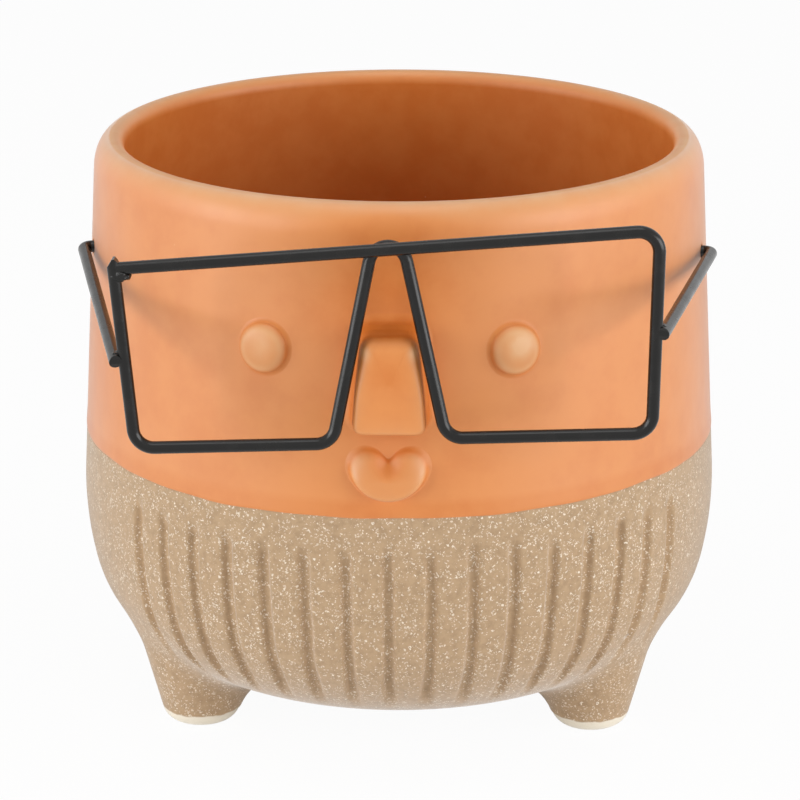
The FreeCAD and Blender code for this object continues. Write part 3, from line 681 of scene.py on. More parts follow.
class PLANTER_OT_glazed_wall(bpy.types.Operator):
    """Turn the glazed wall with its soft rim, and bore the two pin holes"""

    bl_idname = "planter.glazed_wall"
    bl_label = "Glazed Wall"

    def execute(self, context):
        planter = context.scene.face_planter
        pot, face = planter.pot, planter.face
        side = Side(pot)
        angle = np.linspace(0, 2 * math.pi, 320, endpoint=False)
        edge = glaze_edge(pot, angle)
        rows, thin = [], []

        # Each row's glaze value is pale where the glaze runs thin over the rim and a painted shade inside the
        # pot.
        def add(radius, height, edges=0.0):
            rows.append(np.stack(np.broadcast_arrays(radius, height + 0 * angle), -1))
            thin.append(np.full(len(angle), edges))

        add(side.wall_radius(pot.glaze_line) - 0.00030, pot.glaze_line)
        add(side.wall_radius(edge) - 0.00028, edge)
        roll = ((-0.00004, -0.00004), (0.00008, 0.00010), (0.00012, 0.00035), (0.00012, 0.0008))
        for out, up in (*roll, (0.00009, 0.0016), (0.00004, 0.0028)):
            add(side.wall_radius(edge + up) + out, edge + up, -0.25)
        top = pot.pot_height - pot.lip_downwards
        for height in np.linspace(pot.glaze_line + 0.0042, top, 36):
            add(side.wall_radius(height), height)
        for bend in np.linspace(0, math.pi / 2, 15)[1:]:
            height = top + pot.lip_downwards * math.sin(bend)
            radius = side.wall_radius(height) - pot.lip_inwards * (1 - math.cos(bend))
            add(radius, height, 0.85 * math.sin(bend) ** 2)
        # Inside the rim the value runs from a pale lip down to the painted shade of the pot's inside.
        for bend in np.linspace(math.pi / 2, 0, 12):
            height = pot.pot_height - pot.inner_lip * (1 - math.sin(bend)) * 1.4
            radius = side.wall_radius(height, pot.wall) + pot.inner_lip * (1 - math.cos(bend))
            add(radius, height, 1.35 * math.sin(bend) - 0.7)
        low = pot.pot_height - 1.4 * pot.inner_lip
        # Painted shade down the inside of the wall.
        for height in np.linspace(low, pot.glaze_line, 32)[1:]:
            add(side.wall_radius(height, pot.wall), height, -0.7)
        rows = np.array(rows)
        points = side.place(angle[None, :], rows[..., 0], rows[..., 1])
        outer = rows[..., 0] > side.wall_radius(rows[..., 1]) - 0.5 * pot.wall
        # The front of the outer wall gets the painted shade above the nose and the painted shadow below it.
        lay = np.array(thin) + outer * (np.cos(angle) > 0) * painted_nose_shade(face, points[..., 0], rows[..., 1])
        wall = shell("glazed_wall", points, loop=True, glaze=lay, bloom=outer)
        wall.data.materials.append(finish_named("orange_glaze"))

        drill = bpy.data.meshes.new("pin_hole_drill")
        shape = bmesh.new()
        along = Matrix.Translation(swing) @ Matrix.Rotation(math.pi / 2, 4, "Y")
        bmesh.ops.create_cone(
            shape,
            cap_ends=True,
            segments=56,
            radius1=pot.hole_radius,
            radius2=pot.hole_radius,
            depth=3 * pot.pot_radius,
            matrix=along,
        )
        shape.to_mesh(drill)
        shape.free()
        drill.materials.append(finish_named("orange_glaze"))
        tool = add_piece("pin_hole_drill", drill)
        bore = wall.modifiers.new("pin_holes", "BOOLEAN")
        bore.operation, bore.solver, bore.object = "DIFFERENCE", "EXACT", tool
        settle(wall)
        bpy.data.objects.remove(tool)
        wall.data.set_sharp_from_angle(angle=math.radians(50))
        hand_over(wall, "pot", "glaze", "upper_wall")
        return {"FINISHED"}


def foot_radius(feet, height, inner=0.0):
    """Radius of a foot at a height, which shrinks again inside the bowl."""
    turned = np.maximum(height - feet.shoulder, 0.0)
    tuck = feet.tuck * inner * np.maximum(1 - height / 0.016, 0.0)
    return feet.base_radius - tuck + height * math.tan(feet.flare) - 20.0 * turned**2


def groove_run(planter, side, points):
    """How deep a groove may go at each point: less near the underside and on the feet."""
    grooves, feet = planter.grooves, planter.feet
    run = smooth(grooves.fade_low, grooves.fade_high, points[..., 2])
    for azimuth in (-feet.spread, feet.spread, math.pi):
        centre = side.place(azimuth, feet.circle, 0.0)
        away = np.hypot(points[..., 0] - centre[0], points[..., 1] - centre[1])
        run = run * smooth(-0.0005, 0.0075, away - foot_radius(feet, points[..., 2]))
    return run


def press_grooves(planter, side, piece):
    """Presses the grooves into a piece of bare clay."""
    grooves = planter.grooves
    tree = bpy.data.node_groups.get("press_grooves") or grooves_tree()
    values = {
        "Axis": side.axis_y,
        "Pitch": grooves.pitch,
        "First": grooves.first,
        "Last": grooves.first + grooves.count - 1,
        "Width": grooves.width,
        "Depth": grooves.depth,
        "Flat": grooves.flat,
        "Top": planter.pot.glaze_line - grooves.below_glaze - 0.5 * grooves.uneven,
        "Uneven": grooves.uneven,
        "Wander": grooves.wander,
        "Clay": finish_named("speckled_stoneware"),
        "Lining": finish_named("orange_glaze"),
    }
    run_tree(piece, tree, values)


class PLANTER_OT_grooved_bowl(bpy.types.Operator):
    """Turn the bare bowl with its floor and drain hole, and press the grooves into it"""

    bl_idname = "planter.grooved_bowl"
    bl_label = "Grooved Bowl"

    def columns(self, grooves):
        """Angles round the bowl, close together across each groove."""
        half = 0.60 * grooves.width / 0.070
        across = np.linspace(-half, half, 15)
        between = np.linspace(half, grooves.pitch - half, 5)[1:-1]
        angles = []
        for middle in (0.0, math.pi):
            for step in range(grooves.first, grooves.first + grooves.count):
                angles += list(middle + step * grooves.pitch + across)
                if step < grooves.first + grooves.count - 1:
                    angles += list(middle + step * grooves.pitch + between)
            last = middle + (grooves.first + grooves.count - 1) * grooves.pitch + half
            following = middle + math.pi + grooves.first * grooves.pitch - half
            angles += list(np.linspace(last, following, 26)[1:-1])
        return np.array(angles)

    def execute(self, context):
        planter = context.scene.face_planter
        pot = planter.pot
        side = Side(pot)
        angle = self.columns(planter.grooves)
        edge = glaze_edge(pot, angle)
        rows, bare = [], []

        def add(radius, height, outside):
            rows.append(np.stack(np.broadcast_arrays(radius, height + 0 * angle), -1))
            bare.append(np.full(len(angle), outside))

        drain = pot.drain_radius
        for out, up in ((0.0, 0.0022), (0.0002, 0.0008), (0.0008, 0.0002), (0.0018, 0.0)):
            add(drain + out, pot.underside + up, 1.0)
        for radius in np.linspace(drain + 0.005, side.corner[0], 9, endpoint=False):
            add(radius, pot.underside, 1.0)
        under_glaze = pot.glaze_line - 0.0024
        for radius, height in side.climb(0.0, under_glaze, (44, 34), 22):
            add(radius, height, 1.0)
        for share in (0.35, 0.7, 1.0):
            height = under_glaze + share * (edge + 0.00012 - under_glaze)
            add(side.wall_radius(height), height, 1.0)
        step = edge + 0.00014
        add(side.wall_radius(step) - 0.00034, step, 1.0)
        add(side.wall_radius(pot.glaze_line) - 0.00034, pot.glaze_line, 1.0)
        floor = pot.underside + pot.wall
        for radius, height in reversed(side.climb(pot.wall, pot.glaze_line, (14, 12), 6)):
            add(radius, height, 0.0)
        for radius in np.linspace(side.corner[0], drain + 0.003, 6)[1:]:
            add(radius, floor, 0.0)
        for out, down in ((0.0012, 0.0001), (0.0004, 0.0005), (0.0, 0.0014)):
            add(drain + out, floor - down, 0.0)
        rows, bare = np.array(rows), np.array(bare)
        points = side.place(angle[None, :], rows[..., 0], rows[..., 1])
        run = groove_run(planter, side, points) * bare
        # The glazed lining inside the bowl gets the same painted shade as the inside of the wall.
        bowl = shell("grooved_bowl", points, loop=True, outside=bare, groove=run, glaze=0.7 * (bare - 1))
        press_grooves(planter, side, bowl)
        hand_over(bowl, "pot", "stoneware", "ribbed_bowl")
        return {"FINISHED"}


class PLANTER_OT_feet(bpy.types.Operator):
    """Draw the three feet out of the bowl"""

    bl_idname = "planter.feet"
    bl_label = "Feet"

    def outline(self, side, feet, around):
        """Distance from the foot's axis and height of points up each side of a foot, to the bowl."""
        softness = feet.blend - feet.blend_swing * np.cos(around)
        inner = 0.5 - 0.5 * np.cos(around)

        def measure(away, height):
            radius = np.hypot(feet.circle + away * np.cos(around), away * np.sin(around))
            bowl = side.distance(radius, height)
            cone = (away - foot_radius(feet, height, inner)) * math.cos(feet.flare)
            return bowl, cone

        def blended(away, height):
            bowl, cone = measure(away, height)
            share = np.clip(0.5 + 0.5 * (bowl - cone) / softness, 0, 1)
            return bowl + (cone - bowl) * share - softness * share * (1 - share)

        flat = feet.base_radius - feet.tuck * inner - feet.edge * math.tan((math.pi / 2 - feet.flare) / 2)
        away = flat + feet.edge * math.cos(feet.flare)
        height = feet.edge * (1 - math.sin(feet.flare)) + 0 * around
        tiny, stride = 1e-6, 0.00022
        path = [np.stack((away, height), -1)]
        ended = np.zeros(len(around), int)
        for count in range(1, 260):
            for push in (True, False, False):
                value = blended(away, height)
                slope_away = (blended(away + tiny, height) - value) / tiny
                slope_up = (blended(away, height + tiny) - value) / tiny
                steep = np.hypot(slope_away, slope_up)
                if push:
                    away = away - stride * slope_up / steep
                    height = height + stride * slope_away / steep
                else:
                    away = away - value * slope_away / steep**2
                    height = height - value * slope_up / steep**2
            path.append(np.stack((away, height), -1))
            bowl, cone = measure(away, height)
            ended = np.where((ended == 0) & (cone > softness + 0.0012), count, ended)
        path = np.array(path)
        rows = np.linspace(0, 1, 84)
        drawn = np.empty((len(rows), len(around), 2))
        steps = np.arange(len(path))
        for column, last in enumerate(ended):
            for part in (0, 1):
                drawn[:, column, part] = np.interp(rows * last, steps, path[:, column, part])
        return flat, drawn

    def execute(self, context):
        planter = context.scene.face_planter
        feet = planter.feet
        side = Side(planter.pot)
        around = np.linspace(0, 2 * math.pi, 200, endpoint=False)
        flat, drawn = self.outline(side, feet, around)
        rows = [np.stack((share * flat, 0 * around), -1) for share in (0.35, 0.75, 1.0)]
        for bend in np.linspace(-math.pi / 2, -feet.flare, 12)[1:-1]:
            away = flat + feet.edge * math.cos(bend)
            rows.append(np.stack((away, feet.edge * (1 + math.sin(bend)) + 0 * around), -1))
        rows = np.concatenate((np.array(rows), drawn))
        for name, azimuth in (
            ("front_left_foot", -feet.spread),
            ("front_right_foot", feet.spread),
            ("rear_foot", math.pi),
        ):
            out = feet.circle + rows[..., 0] * np.cos(around)
            across = rows[..., 0] * np.sin(around)
            radius, angle = np.hypot(out, across), azimuth + np.arctan2(across, out)
            height = rows[..., 1].copy()
            for row in range(-8, 0):
                depth = 0.00001 * (9 + row)
                radius[row], height[row] = self.bury(side, radius[row], height[row], depth)
            points = side.place(angle, radius, height)
            shares = (1.0, 0.8, 0.6, 0.4, 0.2)
            backs = [self.back(side, feet, azimuth, around, rows[-1], share) for share in shares]
            run = groove_run(planter, side, points)
            run = np.concatenate((run, np.zeros((len(backs), len(around)))))
            points = np.concatenate((points, backs))
            foot = shell(f"drawn_{name}", points, outside=0 * run + 1, groove=run, glaze=0 * run)
            press_grooves(planter, side, foot)
            hand_over(foot, "pot", "stoneware", name)
        return {"FINISHED"}

    def back(self, side, feet, azimuth, around, edge, share):
        """Ring of a foot's hidden back, which follows the bowl inside its wall."""
        out = feet.circle + share * edge[:, 0] * np.cos(around)
        across = share * edge[:, 0] * np.sin(around)
        height = share * edge[:, 1] + (1 - share) * (side.pot.underside + 0.006)
        radius, height = self.bury(side, np.hypot(out, across), height, 0.0025)
        return side.place(azimuth + np.arctan2(across, out), radius, height)

    def bury(self, side, radius, height, depth):
        """Radius and height of places moved to a depth inside the bowl's surface."""
        for _ in range(4):
            off, up = np.maximum(radius - side.corner[0], 0.0), height - side.corner[1]
            move = (side.distance(radius, height) + depth) / np.hypot(off, up)
            radius, height = radius - move * off, height - move * up
        return radius, height


def even_outline(points, count):
    """Closed outline with its points spread evenly along it."""
    closed = np.vstack((points, points[:1]))
    along = np.concatenate(((0,), np.cumsum(np.hypot(*np.diff(closed, axis=0).T))))
    places = np.linspace(0, along[-1], count, endpoint=False)
    return np.stack([np.interp(places, along, closed[:, part]) for part in (0, 1)], -1)


def outwards(outline):
    """Direction square to an outline at each point, pointing out of it."""
    ahead = np.roll(outline, -1, 0) - np.roll(outline, 1, 0)
    square = np.stack((ahead[:, 1], -ahead[:, 0]), -1)
    return square / np.linalg.norm(square, axis=1, keepdims=True)


class PLANTER_OT_nose(bpy.types.Operator):
    """Model the nose: a flat wedge with soft edges that runs into the wall"""

    bl_idname = "planter.nose"
    bl_label = "Nose"

    def execute(self, context):
        planter = context.scene.face_planter
        face = planter.face
        side = Side(planter.pot)
        top, bottom = face.nose_top_width / 2, face.nose_bottom_width / 2
        low, high = face.nose_top - face.nose_length, face.nose_top
        corners = ((bottom, low, 0.0018), (top, high, 0.0024), (-top, high, 0.0024), (-bottom, low, 0.0018))
        outline = []
        for index, (x, z, radius) in enumerate(corners):
            here = np.array((x, z))
            before, after = (np.array(corners[(index + way) % 4][:2]) for way in (-1, 1))
            to_before = (before - here) / np.linalg.norm(before - here)
            to_after = (after - here) / np.linalg.norm(after - here)
            for share in np.linspace(0, 1, 12):
                curve = (1 - share) ** 2 * to_before + share**2 * to_after
                outline.append(here + 1.25 * radius * curve)
        outline = even_outline(np.array(outline), 220)
        normal = outwards(outline)
        middle = np.array((0.0, (low + high) / 2))
        upper = smooth(low + 0.3 * face.nose_length, high, outline[:, 1])
        soft = 0.00100 + 0.0021 * upper
        proud = face.nose_proud - 0.0004 - 0.0005 * upper
        rings, lay, bloom = [], [], []

        def painted_highlight(place):
            """Painted highlights at the two upper corners of the front, and a deeper orange towards the top.
            """
            off = (np.abs(place[:, 0]) - 0.0048) / 0.0012
            return 0.8 * np.exp(-(off**2) - ((place[:, 1] - high + 0.0030) / 0.0017) ** 2) - 0.25 * upper

        def add(out, height, glaze, skirt=0.0):
            place = outline + normal * np.reshape(out, (-1, 1))
            rings.append((place, height + 0 * upper))
            bloom.append(skirt + 0 * upper)
            # The nose's skirt carries the wall's painted shade and shadow, and its front carries the painted
            # corner highlights.
            lay.append(glaze + (1 - skirt) * painted_highlight(place) + skirt * painted_nose_shade(face, place[:, 0], place[:, 1]))

        slope = math.tan(math.radians(10))
        hollow = 0.0022
        foot = (proud - hollow) * slope
        add(foot + 1.2 * hollow, -0.0012, 0.0, 1.0)
        add(foot + 1.1 * hollow, -0.00004, 0.0, 1.0)
        for share in np.linspace(0, 1, 12):
            bend = share * math.pi / 2
            pool = -0.8 * smooth(0.0, 0.8, share)
            out, height = hollow * (1 - math.sin(bend)), hollow * (1 - math.cos(bend))
            add(foot + out, height - 0.00002, pool, (1 - share) ** 2)
        for share in (0.2, 0.4, 0.6, 0.8):
            height = hollow + share * (proud - soft - hollow)
            add((proud - soft - height) * slope, height, -0.9 + 0.3 * share)
        for bend in np.linspace(0, math.pi / 2, 10):
            glaze = 0.2 + 0.3 * math.sin(2 * bend) - 1.1 * math.cos(bend) ** 2
            add(-soft * (1 - np.cos(bend)), proud - soft * (1 - np.sin(bend)), glaze)
        rings_at = [np.stack((place[:, 0], place[:, 1], height), -1) for place, height in rings]
        rim = rings_at[-1]
        for share in (0.88, 0.7, 0.5, 0.3, 0.12):
            inner = rim.copy()
            inner[:, :2] = middle + share * (rim[:, :2] - middle)
            inner[:, 2] = rim[:, 2] + (1 - share) ** 0.5 * (rim[:, 2].mean() - rim[:, 2]) * 0.9
            rings_at.append(inner)
            lay.append(0.2 * share**4 + painted_highlight(inner))
            bloom.append(0 * upper)
        rings_at = np.array(rings_at)
        points = side.on_wall(0.0, face.nose_aside + rings_at[..., 0], rings_at[..., 1], rings_at[..., 2])
        nose = shell("modelled_nose", points, glaze=np.array(lay), bloom=np.array(bloom))
        nose.data.materials.append(finish_named("orange_glaze"))
        hand_over(nose, "pot", "glaze", "nose")
        return {"FINISHED"}


class PLANTER_OT_lips(bpy.types.Operator):
    """Model the heart-shaped lips"""

    bl_idname = "planter.lips"
    bl_label = "Lips"

    def heart(self, face):
        """Outline of three tangent arcs: two lobes that meet in a notch, over one wide round."""
        half, reach = face.lips_width / 2, face.lips_depth / 2
        lobe = half + face.lips_notch - math.sqrt(2 * half * face.lips_notch)
        lobe_side, lobe_up = half - lobe, reach - lobe
        round_up = lobe_side**2 / (4 * lobe_up)
        notch = math.atan2(reach - face.lips_notch - lobe_up, -lobe_side)
        join = math.atan2(lobe_up - round_up, lobe_side)
        arcs = (
            ((lobe_side, lobe_up), lobe, join, notch),
            ((-lobe_side, lobe_up), lobe, math.pi - notch, math.pi - join),
            ((0.0, round_up), round_up + reach, math.pi - join, 2 * math.pi + join),
        )
        points = []
        for (x, z), radius, first, last in arcs:
            for angle in np.linspace(first, last, 60, endpoint=False):
                points.append((x + radius * math.cos(angle), z + radius * math.sin(angle)))
        return even_outline(np.array(points), 240)

    def execute(self, context):
        planter = context.scene.face_planter
        face = planter.face
        side = Side(planter.pot)
        heart = self.heart(face)
        for _ in range(120):
            heart = 0.25 * np.roll(heart, 1, 0) + 0.5 * heart + 0.25 * np.roll(heart, -1, 0)
        middle = np.array((0.0, -0.0012))
        spread = heart - middle
        oval = spread / np.hypot(spread[:, 0] / 0.0086, spread[:, 1] / 0.0054)[:, None]
        upper = smooth(-0.0015, 0.0045, heart[:, 1])
        rings, lay, bloom = [], [], []
        profile = (
            (1.20, -0.0012, -0.0012, 0.0),
            (1.18, -0.00006, -0.00006, 0.0),
            (1.15, -0.00002, -0.00002, 0.0),
            (1.12, 0.00006, 0.00006, -0.1),
            (1.085, 0.00018, 0.00018, -0.3),
            (1.05, 0.00038, 0.00034, -0.4),
            (1.015, 0.00076, 0.00056, -0.35),
            (0.985, 0.00126, 0.00082, 0.05),
            (0.955, 0.00174, 0.00110, 0.4),
            (0.92, 0.00214, 0.00142, 0.65),
            (0.87, 0.00248, 0.00180, 0.65),
            (0.80, 0.00274, 0.00216, 0.5),
            (0.70, 0.00292, 0.00248, 0.35),
            (0.57, 0.00302, 0.00274, 0.25),
            (0.42, 0.00308, 0.00294, 0.2),
            (0.26, 0.00311, 0.00306, 0.2),
            (0.10, 0.00312, 0.00311, 0.2),
        )
        for share, lower_proud, upper_proud, glaze in profile:
            rounder = smooth(1.0, 0.55, share)
            place = middle + share * (spread + rounder * (oval - spread))
            height = lower_proud + (upper_proud - lower_proud) * upper
            valley = 0.0014 + 0.32 * np.maximum(place[:, 1] + 0.001, 0.0)
            cleft = np.exp(-((place[:, 0] / valley) ** 2)) * smooth(-0.0012, 0.0030, place[:, 1])
            height = height - 0.6 * cleft * np.maximum(height, 0.0)
            rings.append(np.stack((place[:, 0], face.lips_height + place[:, 1], height), -1))
            # Painted shade in the notch between the lobes.
            lay.append(glaze * (1 - 0.35 * upper) - 0.6 * cleft * (share < 1.1))
            bloom.append(smooth(1.02, 1.14, share) + 0 * upper)
        rings = np.array(rings)
        points = side.on_wall(0.0, rings[..., 0], rings[..., 1], rings[..., 2])
        lips = shell("modelled_lips", points, glaze=np.array(lay), bloom=np.array(bloom))
        lips.data.materials.append(finish_named("orange_glaze"))
        hand_over(lips, "pot", "glaze", "lips")
        return {"FINISHED"}


class PLANTER_OT_eyes(bpy.types.Operator):
    """Model the two eyes, the left one flatter than the right"""

    bl_idname = "planter.eyes"
    bl_label = "Eyes"

    def execute(self, context):
        planter = context.scene.face_planter
        face = planter.face
        side = Side(planter.pot)
        around = np.linspace(0, 2 * math.pi, 128, endpoint=False)
        for name, sign, flatness, relief_share, painted_highlight in (
            ("left_eye", -1, 3.2, 0.86, 0.3),
            ("right_eye", 1, 2.1, 1.0, 1.2),
        ):
            rings, lay = [], []
            rings += [(1.30, -0.0012), (1.28, -0.00006)]
            lay += [0.0, 0.0]
            for share in (1.25, 1.21, 1.17, 1.13, 1.09, 1.05):
                rings.append((share, 0.00048 * ((1.25 - share) / 0.23) ** 2 - 0.00002))
                lay.append(-0.3 * smooth(1.25, 1.08, share))
            for bend in np.linspace(0, math.pi / 2, 18)[:-1]:
                share = math.cos(bend)
                dome = (1 - share**flatness) ** (1 / 1.7)
                rings.append((0.02 + 1.0 * share, 0.00048 + (face.eye_proud * relief_share - 0.00048) * dome))
                lay.append(-0.55 * share**8 + 0.4 * math.exp(-(((share - 0.80) / 0.15) ** 2)) + 0.35)
            points, thin, bloom = [], [], []
            for (share, proud), glaze in zip(rings, lay):
                across = share * face.eye_radius * np.cos(around)
                height = face.eye_height + share * face.eye_radius * np.sin(around)
                points.append(side.on_wall(sign * face.eye_angle, across, height, proud + 0 * around))
                # Painted highlight: a pale spot on the upper dome, strong on the right eye and faint on the
                # left.
                off = np.hypot(share * np.cos(around) - 0.1, share * np.sin(around) - 0.25)
                thin.append(glaze + painted_highlight * np.exp(-((off / 0.42) ** 2)))
                bloom.append(smooth(1.04, 1.22, share) + 0 * around)
            eye = shell(f"modelled_{name}", np.array(points), glaze=np.array(thin), bloom=np.array(bloom))
            eye.data.materials.append(finish_named("orange_glaze"))
            hand_over(eye, "pot", "glaze", name)
        return {"FINISHED"}


# Glasses


class Bench:
    """Places on the wire frame, which stands in front of the face and hangs a little askew."""

    def __init__(self, glasses):
        self.glasses = glasses
        self.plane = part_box("front_frame")[0].y + glasses.wire / 2
        self.top, self.bottom = glasses.top_width / 2, glasses.bottom_width / 2
        self.left, self.right = glasses.left_lens / 2, glasses.right_lens / 2
        self.bar = (self.left + self.right) / 2
        self.inner = glasses.bridge_opening / 2
        self.side = (self.top + self.bottom) / 2

    def place(self, across, up, back=0.0):
        """Point of the frame."""
        roll = self.glasses.roll
        across = across + (up + self.bar) * math.tan(self.glasses.lean)
        x = across * math.cos(roll) - up * math.sin(roll)
        z = across * math.sin(roll) + up * math.cos(roll)
        return Vector((x, self.plane + back, self.glasses.frame_height + z))

    def bridge(self, across, up, back=0.0):
        """Point of the bridge, which is turned against the frame."""
        turned = (up - self.glasses.bridge_seat) * math.tan(self.glasses.bridge_turn)
        return self.place(across + turned, up, back)

    def lean_back(self, up):
        """How far a bridge wire lies behind the frame at a height, to pass the top bar."""
        return 1.055 * self.glasses.wire * (up + self.bar) / (2 * self.bar)


def bend_wire(name, glasses, points, bends):
    """Wire along a line of points, with a bend radius at each."""
    line = bpy.data.meshes.new(name)
    line.from_pydata([tuple(point) for point in points], [(i, i + 1) for i in range(len(points) - 1)], [])
    line.attributes.new("bend", "FLOAT", "POINT").data.foreach_set("value", bends)
    wire = add_piece(name, line)
    tree = bpy.data.node_groups.get("bend_wire") or wire_tree()
    values = {
        "Radius": glasses.wire / 2,
        "Bend Steps": 14,
        "Sides": 28,
        "Coat": finish_named("satin_black_wire"),
    }
    run_tree(wire, tree, values)
    wire.data.shade_smooth()
    wire.data.set_sharp_from_angle(angle=math.radians(50))
    return wire


def trim_wire(wire, end, *cuts):
    """Cuts a wire's end along planes, each given by a point and the way that falls off."""
    shape = bmesh.new()
    shape.from_mesh(wire.data)
    tips = set(min(shape.faces, key=lambda face: (face.calc_center_median() - end).length).verts)
    for place, way in cuts:
        faces = {face for vertex in tips for face in vertex.link_faces}
        edges = {edge for face in faces for edge in face.edges}
        corners = {vertex for face in faces for vertex in face.verts}
        made = bmesh.ops.bisect_plane(
            shape, geom=[*corners, *edges, *faces], plane_co=place, plane_no=way, clear_outer=True
        )
        rim = [item for item in made["geom_cut"] if isinstance(item, bmesh.types.BMEdge)]
        bmesh.ops.edgeloop_fill(shape, edges=rim)
        for edge in rim:
            edge.smooth = False
        tips = {vertex for vertex in tips if vertex.is_valid}
        tips |= {vertex for edge in rim for vertex in edge.verts}
    shape.to_mesh(wire.data)
    shape.free()


class PLANTER_OT_front_frame(bpy.types.Operator):
    """Bend the front of the glasses from one wire"""

    bl_idname = "planter.front_frame"
    bl_label = "Front Frame"

    def execute(self, context):
        glasses = context.scene.face_planter.glasses
        bench = Bench(glasses)
        slope = (bench.right - bench.left) / (2 * bench.top)
        start = -bench.top + glasses.corner_inset + 0.0004
        side_slope = (bench.top - bench.bottom) / (2 * bench.left)
        peak = glasses.bridge_peak
        stub = glasses.corner_stub
        points = [
            bench.place(start, bench.left + slope * (start + bench.top)),
            bench.place(bench.top, bench.right),
            bench.place(bench.bottom, -bench.right),
            bench.bridge(bench.inner, -bench.bar),
            bench.bridge(0, peak, bench.lean_back(peak)),
            bench.bridge(-bench.inner, -bench.bar),
            bench.place(-bench.bottom, -bench.left),
            bench.place(glasses.corner_inset - bench.top - side_slope * stub, bench.left + stub),
        ]
        bend, arch = glasses.bend_radius, glasses.arch_radius
        wire = bend_wire("bent_front_frame", glasses, points, [0, bend, bend, bend, arch, bend, bend, 0])
        ridge = points[-1] + Vector((0.0002, 0, 0.0003))
        long_bevel = ridge, Vector((-0.86, 0, 0.51))
        short_bevel = ridge, Vector((0.72, 0, 0.69))
        trim_wire(wire, points[-1], long_bevel, short_bevel)
        hand_over(wire, "glasses", "wire", "front_frame")
        return {"FINISHED"}


class PLANTER_OT_temples(bpy.types.Operator):
    """Bend the two temples with their hooked pins"""

    bl_idname = "planter.temples"
    bl_label = "Temples"

    def execute(self, context):
        glasses = context.scene.face_planter.glasses
        bench = Bench(glasses)
        for name, sign in (("left_temple", -1), ("right_temple", 1)):
            weld = bench.place(sign * (bench.side + glasses.temple_set), 0)
            hook = Vector((sign * glasses.hook_side, swing[1], swing[2]))
            pin = Vector((sign * glasses.pin_end, swing[1], swing[2]))
            front = weld + (weld - hook).normalized() * glasses.temple_stub
            wire = bend_wire(f"bent_{name}", glasses, [front, hook, pin], [0, glasses.hook_radius, 0])
            ahead = (front - hook).normalized()
            low, high = Vector((0, 0, -0.0003)), Vector((0, 0, 0.0009))
            skew = ahead + Vector((0, 0, -0.55))
            round_over = ahead + Vector((0, 0, 0.75))
            trim_wire(wire, front, (front + low, skew), (front + high, round_over))
            hand_over(wire, "glasses", "wire", name)
        return {"FINISHED"}


def weld_bead(shape, place, reach, seed):
    """Lumpy bead of weld metal."""
    made = bmesh.ops.create_icosphere(shape, subdivisions=4, radius=1.0)
    for vertex in made["verts"]:
        lump = 1 + 0.30 * noise.noise(vertex.co * 1.4 + Vector((seed, 2.3, 0.7)))
        lump += 0.10 * noise.noise(vertex.co * 3.6 + Vector((0.4, seed, 1.9)))
        vertex.co = Vector(place) + Vector(c * r for c, r in zip(vertex.co * lump, reach))


class PLANTER_OT_welds(bpy.types.Operator):
    """Set the weld beads where the wires meet"""

    bl_idname = "planter.welds"
    bl_label = "Welds"

    def execute(self, context):
        glasses = context.scene.face_planter.glasses
        bench = Bench(glasses)
        half = glasses.wire / 2
        corner = bench.place(glasses.corner_inset - bench.top + 0.9 * half, bench.left - 1.0 * half)
        drip = bench.place(glasses.corner_inset - bench.top + 2.0 * half, bench.left - 1.25 * half)
        groups = {
            "corner_weld": [
                (corner, (0.0021, 0.0016, 0.0015), 3.1),
                (drip, (0.0009, 0.0011, 0.0008), 4.4),
            ],
            "bridge_welds": [
                (
                    bench.bridge(sign * 1.5 * half, bench.bar - 0.3 * half, half),
                    (0.0012, 0.0012, 0.0011),
                    5.2 + sign,
                )
                for sign in (-1, 1)
            ],
            "temple_welds": [
                (
                    bench.place(sign * (bench.side + 0.8 * glasses.temple_set), 0, 0.0007),
                    (0.0015, 0.0016, 0.0017),
                    8.4 + sign,
                )
                for sign in (-1, 1)
            ],
        }
        for name, beads in groups.items():
            mesh = bpy.data.meshes.new(name)
            shape = bmesh.new()
            for place, reach, seed in beads:
                weld_bead(shape, place, reach, seed)
            shape.to_mesh(mesh)
            shape.free()
            mesh.shade_smooth()
            mesh.materials.append(finish_named("satin_black_wire"))
            hand_over(add_piece(f"lumpy_{name}", mesh), "glasses", "wire", name)
        return {"FINISHED"}


# Studio


def aim(thing, target):
    """Turns a lamp towards a point."""
    thing.rotation_euler = (Vector(target) - thing.location).to_track_quat("-Z", "Y").to_euler()


def seen_ray(tree):
    """1 for rays that show a surface itself: straight, mirrored or through glass."""
    path = add_node(tree, "ShaderNodeLightPath").outputs
    either = reckon(tree, "MAXIMUM", path["Is Camera Ray"], path["Is Glossy Ray"])
    return reckon(tree, "MAXIMUM", either, path["Is Transmission Ray"])


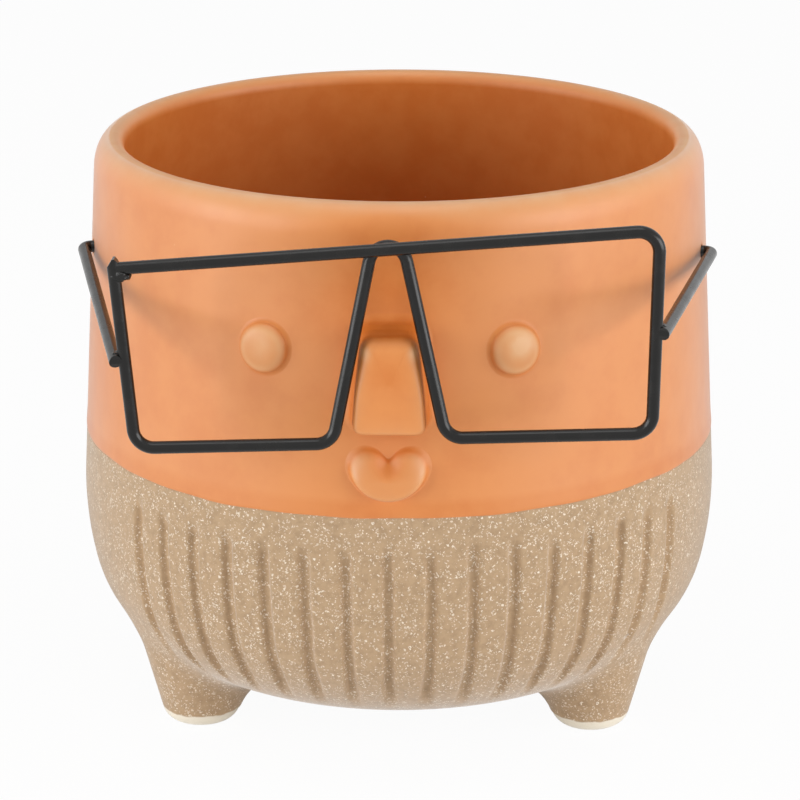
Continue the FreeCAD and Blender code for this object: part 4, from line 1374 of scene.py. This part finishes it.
class PLANTER_OT_studio(bpy.types.Operator):
    """Set up the pale floor, the soft light and the camera"""

    bl_idname = "planter.studio"
    bl_label = "Studio"

    def execute(self, context):
        scene = context.scene
        scene.view_settings.view_transform = "Standard"
        mesh = bpy.data.meshes.new("studio_floor")
        reach, drop = 4.0, -0.0001
        square = ((-reach, -reach), (reach, -reach), (reach, reach), (-reach, reach))
        corners = [(x, y, drop) for x, y in square]
        mesh.from_pydata(corners, [], [(0, 1, 2, 3)])
        floor = add_piece("studio_floor", mesh)
        pale = bpy.data.materials.new("pale_floor")
        pale.use_nodes = True
        tree = pale.node_tree
        tree.nodes.clear()
        paper = add_node(tree, "ShaderNodeBsdfDiffuse", {"Color": (0.92, 0.92, 0.92, 1)})
        glow = add_node(tree, "ShaderNodeEmission", {"Color": (1, 1, 1, 1), "Strength": 1.0})
        share = reckon(tree, "MULTIPLY", seen_ray(tree), 0.955)
        mixed = add_node(tree, "ShaderNodeMixShader", {0: share, 1: paper.outputs[0], 2: glow.outputs[0]})
        add_node(tree, "ShaderNodeOutputMaterial", {"Surface": mixed.outputs[0]})
        mesh.materials.append(pale)

        world = bpy.data.worlds.new("studio_tent")
        scene.world = world
        world.use_nodes = True
        tree = world.node_tree
        tree.nodes.clear()
        light = add_node(tree, "ShaderNodeBackground", {"Color": (1, 1, 1, 1), "Strength": 0.28})
        white = add_node(tree, "ShaderNodeBackground", {"Color": (1, 1, 1, 1), "Strength": 1.0})
        mix = {0: seen_ray(tree), 1: light.outputs[0], 2: white.outputs[0]}
        mixed = add_node(tree, "ShaderNodeMixShader", mix)
        add_node(tree, "ShaderNodeOutputWorld", {"Surface": mixed.outputs[0]})

        for name, place, size, power in (
            ("left_softbox", (-1.22, -0.60, 0.34), (1.2, 0.70), 12.8),
            ("right_softbox", (1.22, -0.60, 0.34), (1.2, 0.70), 12.8),
            ("top_softbox", (0.0, -0.35, 1.5), (0.8, 0.8), 4.2),
        ):
            lamp = bpy.data.lights.new(name, "AREA")
            lamp.shape, lamp.energy = "RECTANGLE", power
            lamp.size, lamp.size_y = size
            box = bpy.data.objects.new(name, lamp)
            box.location = place
            aim(box, (0, 0, 0.075))
            scene.collection.objects.link(box)

        view = bpy.data.cameras.new("photo_view")
        view.lens, view.sensor_width = 146.9, 36.0
        camera = bpy.data.objects.new("photo_view", view)
        camera.location = (0.02362, -0.74674, 0.316)
        camera.rotation_euler = (math.radians(72.0), 0.0, math.radians(1.782))
        scene.collection.objects.link(camera)
        scene.camera = camera
        return {"FINISHED"}


class PLANTER_PT_panel(bpy.types.Panel):
    """Sidebar list of the planter's pieces"""

    bl_label = "Face Planter"
    bl_idname = "PLANTER_PT_panel"
    bl_space_type = "VIEW_3D"
    bl_region_type = "UI"
    bl_category = "Face Planter"

    def draw(self, context):
        for step in STEPS:
            self.layout.operator(step.bl_idname)
        for name in ("pot", "grooves", "feet", "face", "glasses", "finish"):
            group = getattr(context.scene.face_planter, name)
            box = self.layout.box()
            for key in group.__annotations__:
                box.prop(group, key)


STEPS = (
    PLANTER_OT_finishes,
    PLANTER_OT_glazed_wall,
    PLANTER_OT_grooved_bowl,
    PLANTER_OT_feet,
    PLANTER_OT_nose,
    PLANTER_OT_lips,
    PLANTER_OT_eyes,
    PLANTER_OT_front_frame,
    PLANTER_OT_temples,
    PLANTER_OT_welds,
    PLANTER_OT_studio,
)
CLASSES = (
    PotSizes,
    GrooveSizes,
    FootSizes,
    FaceSizes,
    GlassesSizes,
    Finishes,
    FacePlanter,
    *STEPS,
    PLANTER_PT_panel,
)


def register():
    for kind in CLASSES:
        bpy.utils.register_class(kind)
    bpy.types.Scene.face_planter = PointerProperty(type=FacePlanter)


def unregister():
    del bpy.types.Scene.face_planter
    for kind in reversed(CLASSES):
        bpy.utils.unregister_class(kind)


def main():
    """Builds the planter step by step."""
    register()
    for step in STEPS:
        group, name = step.bl_idname.split(".")
        getattr(getattr(bpy.ops, group), name)()


if __name__ == "__main__":
    main()
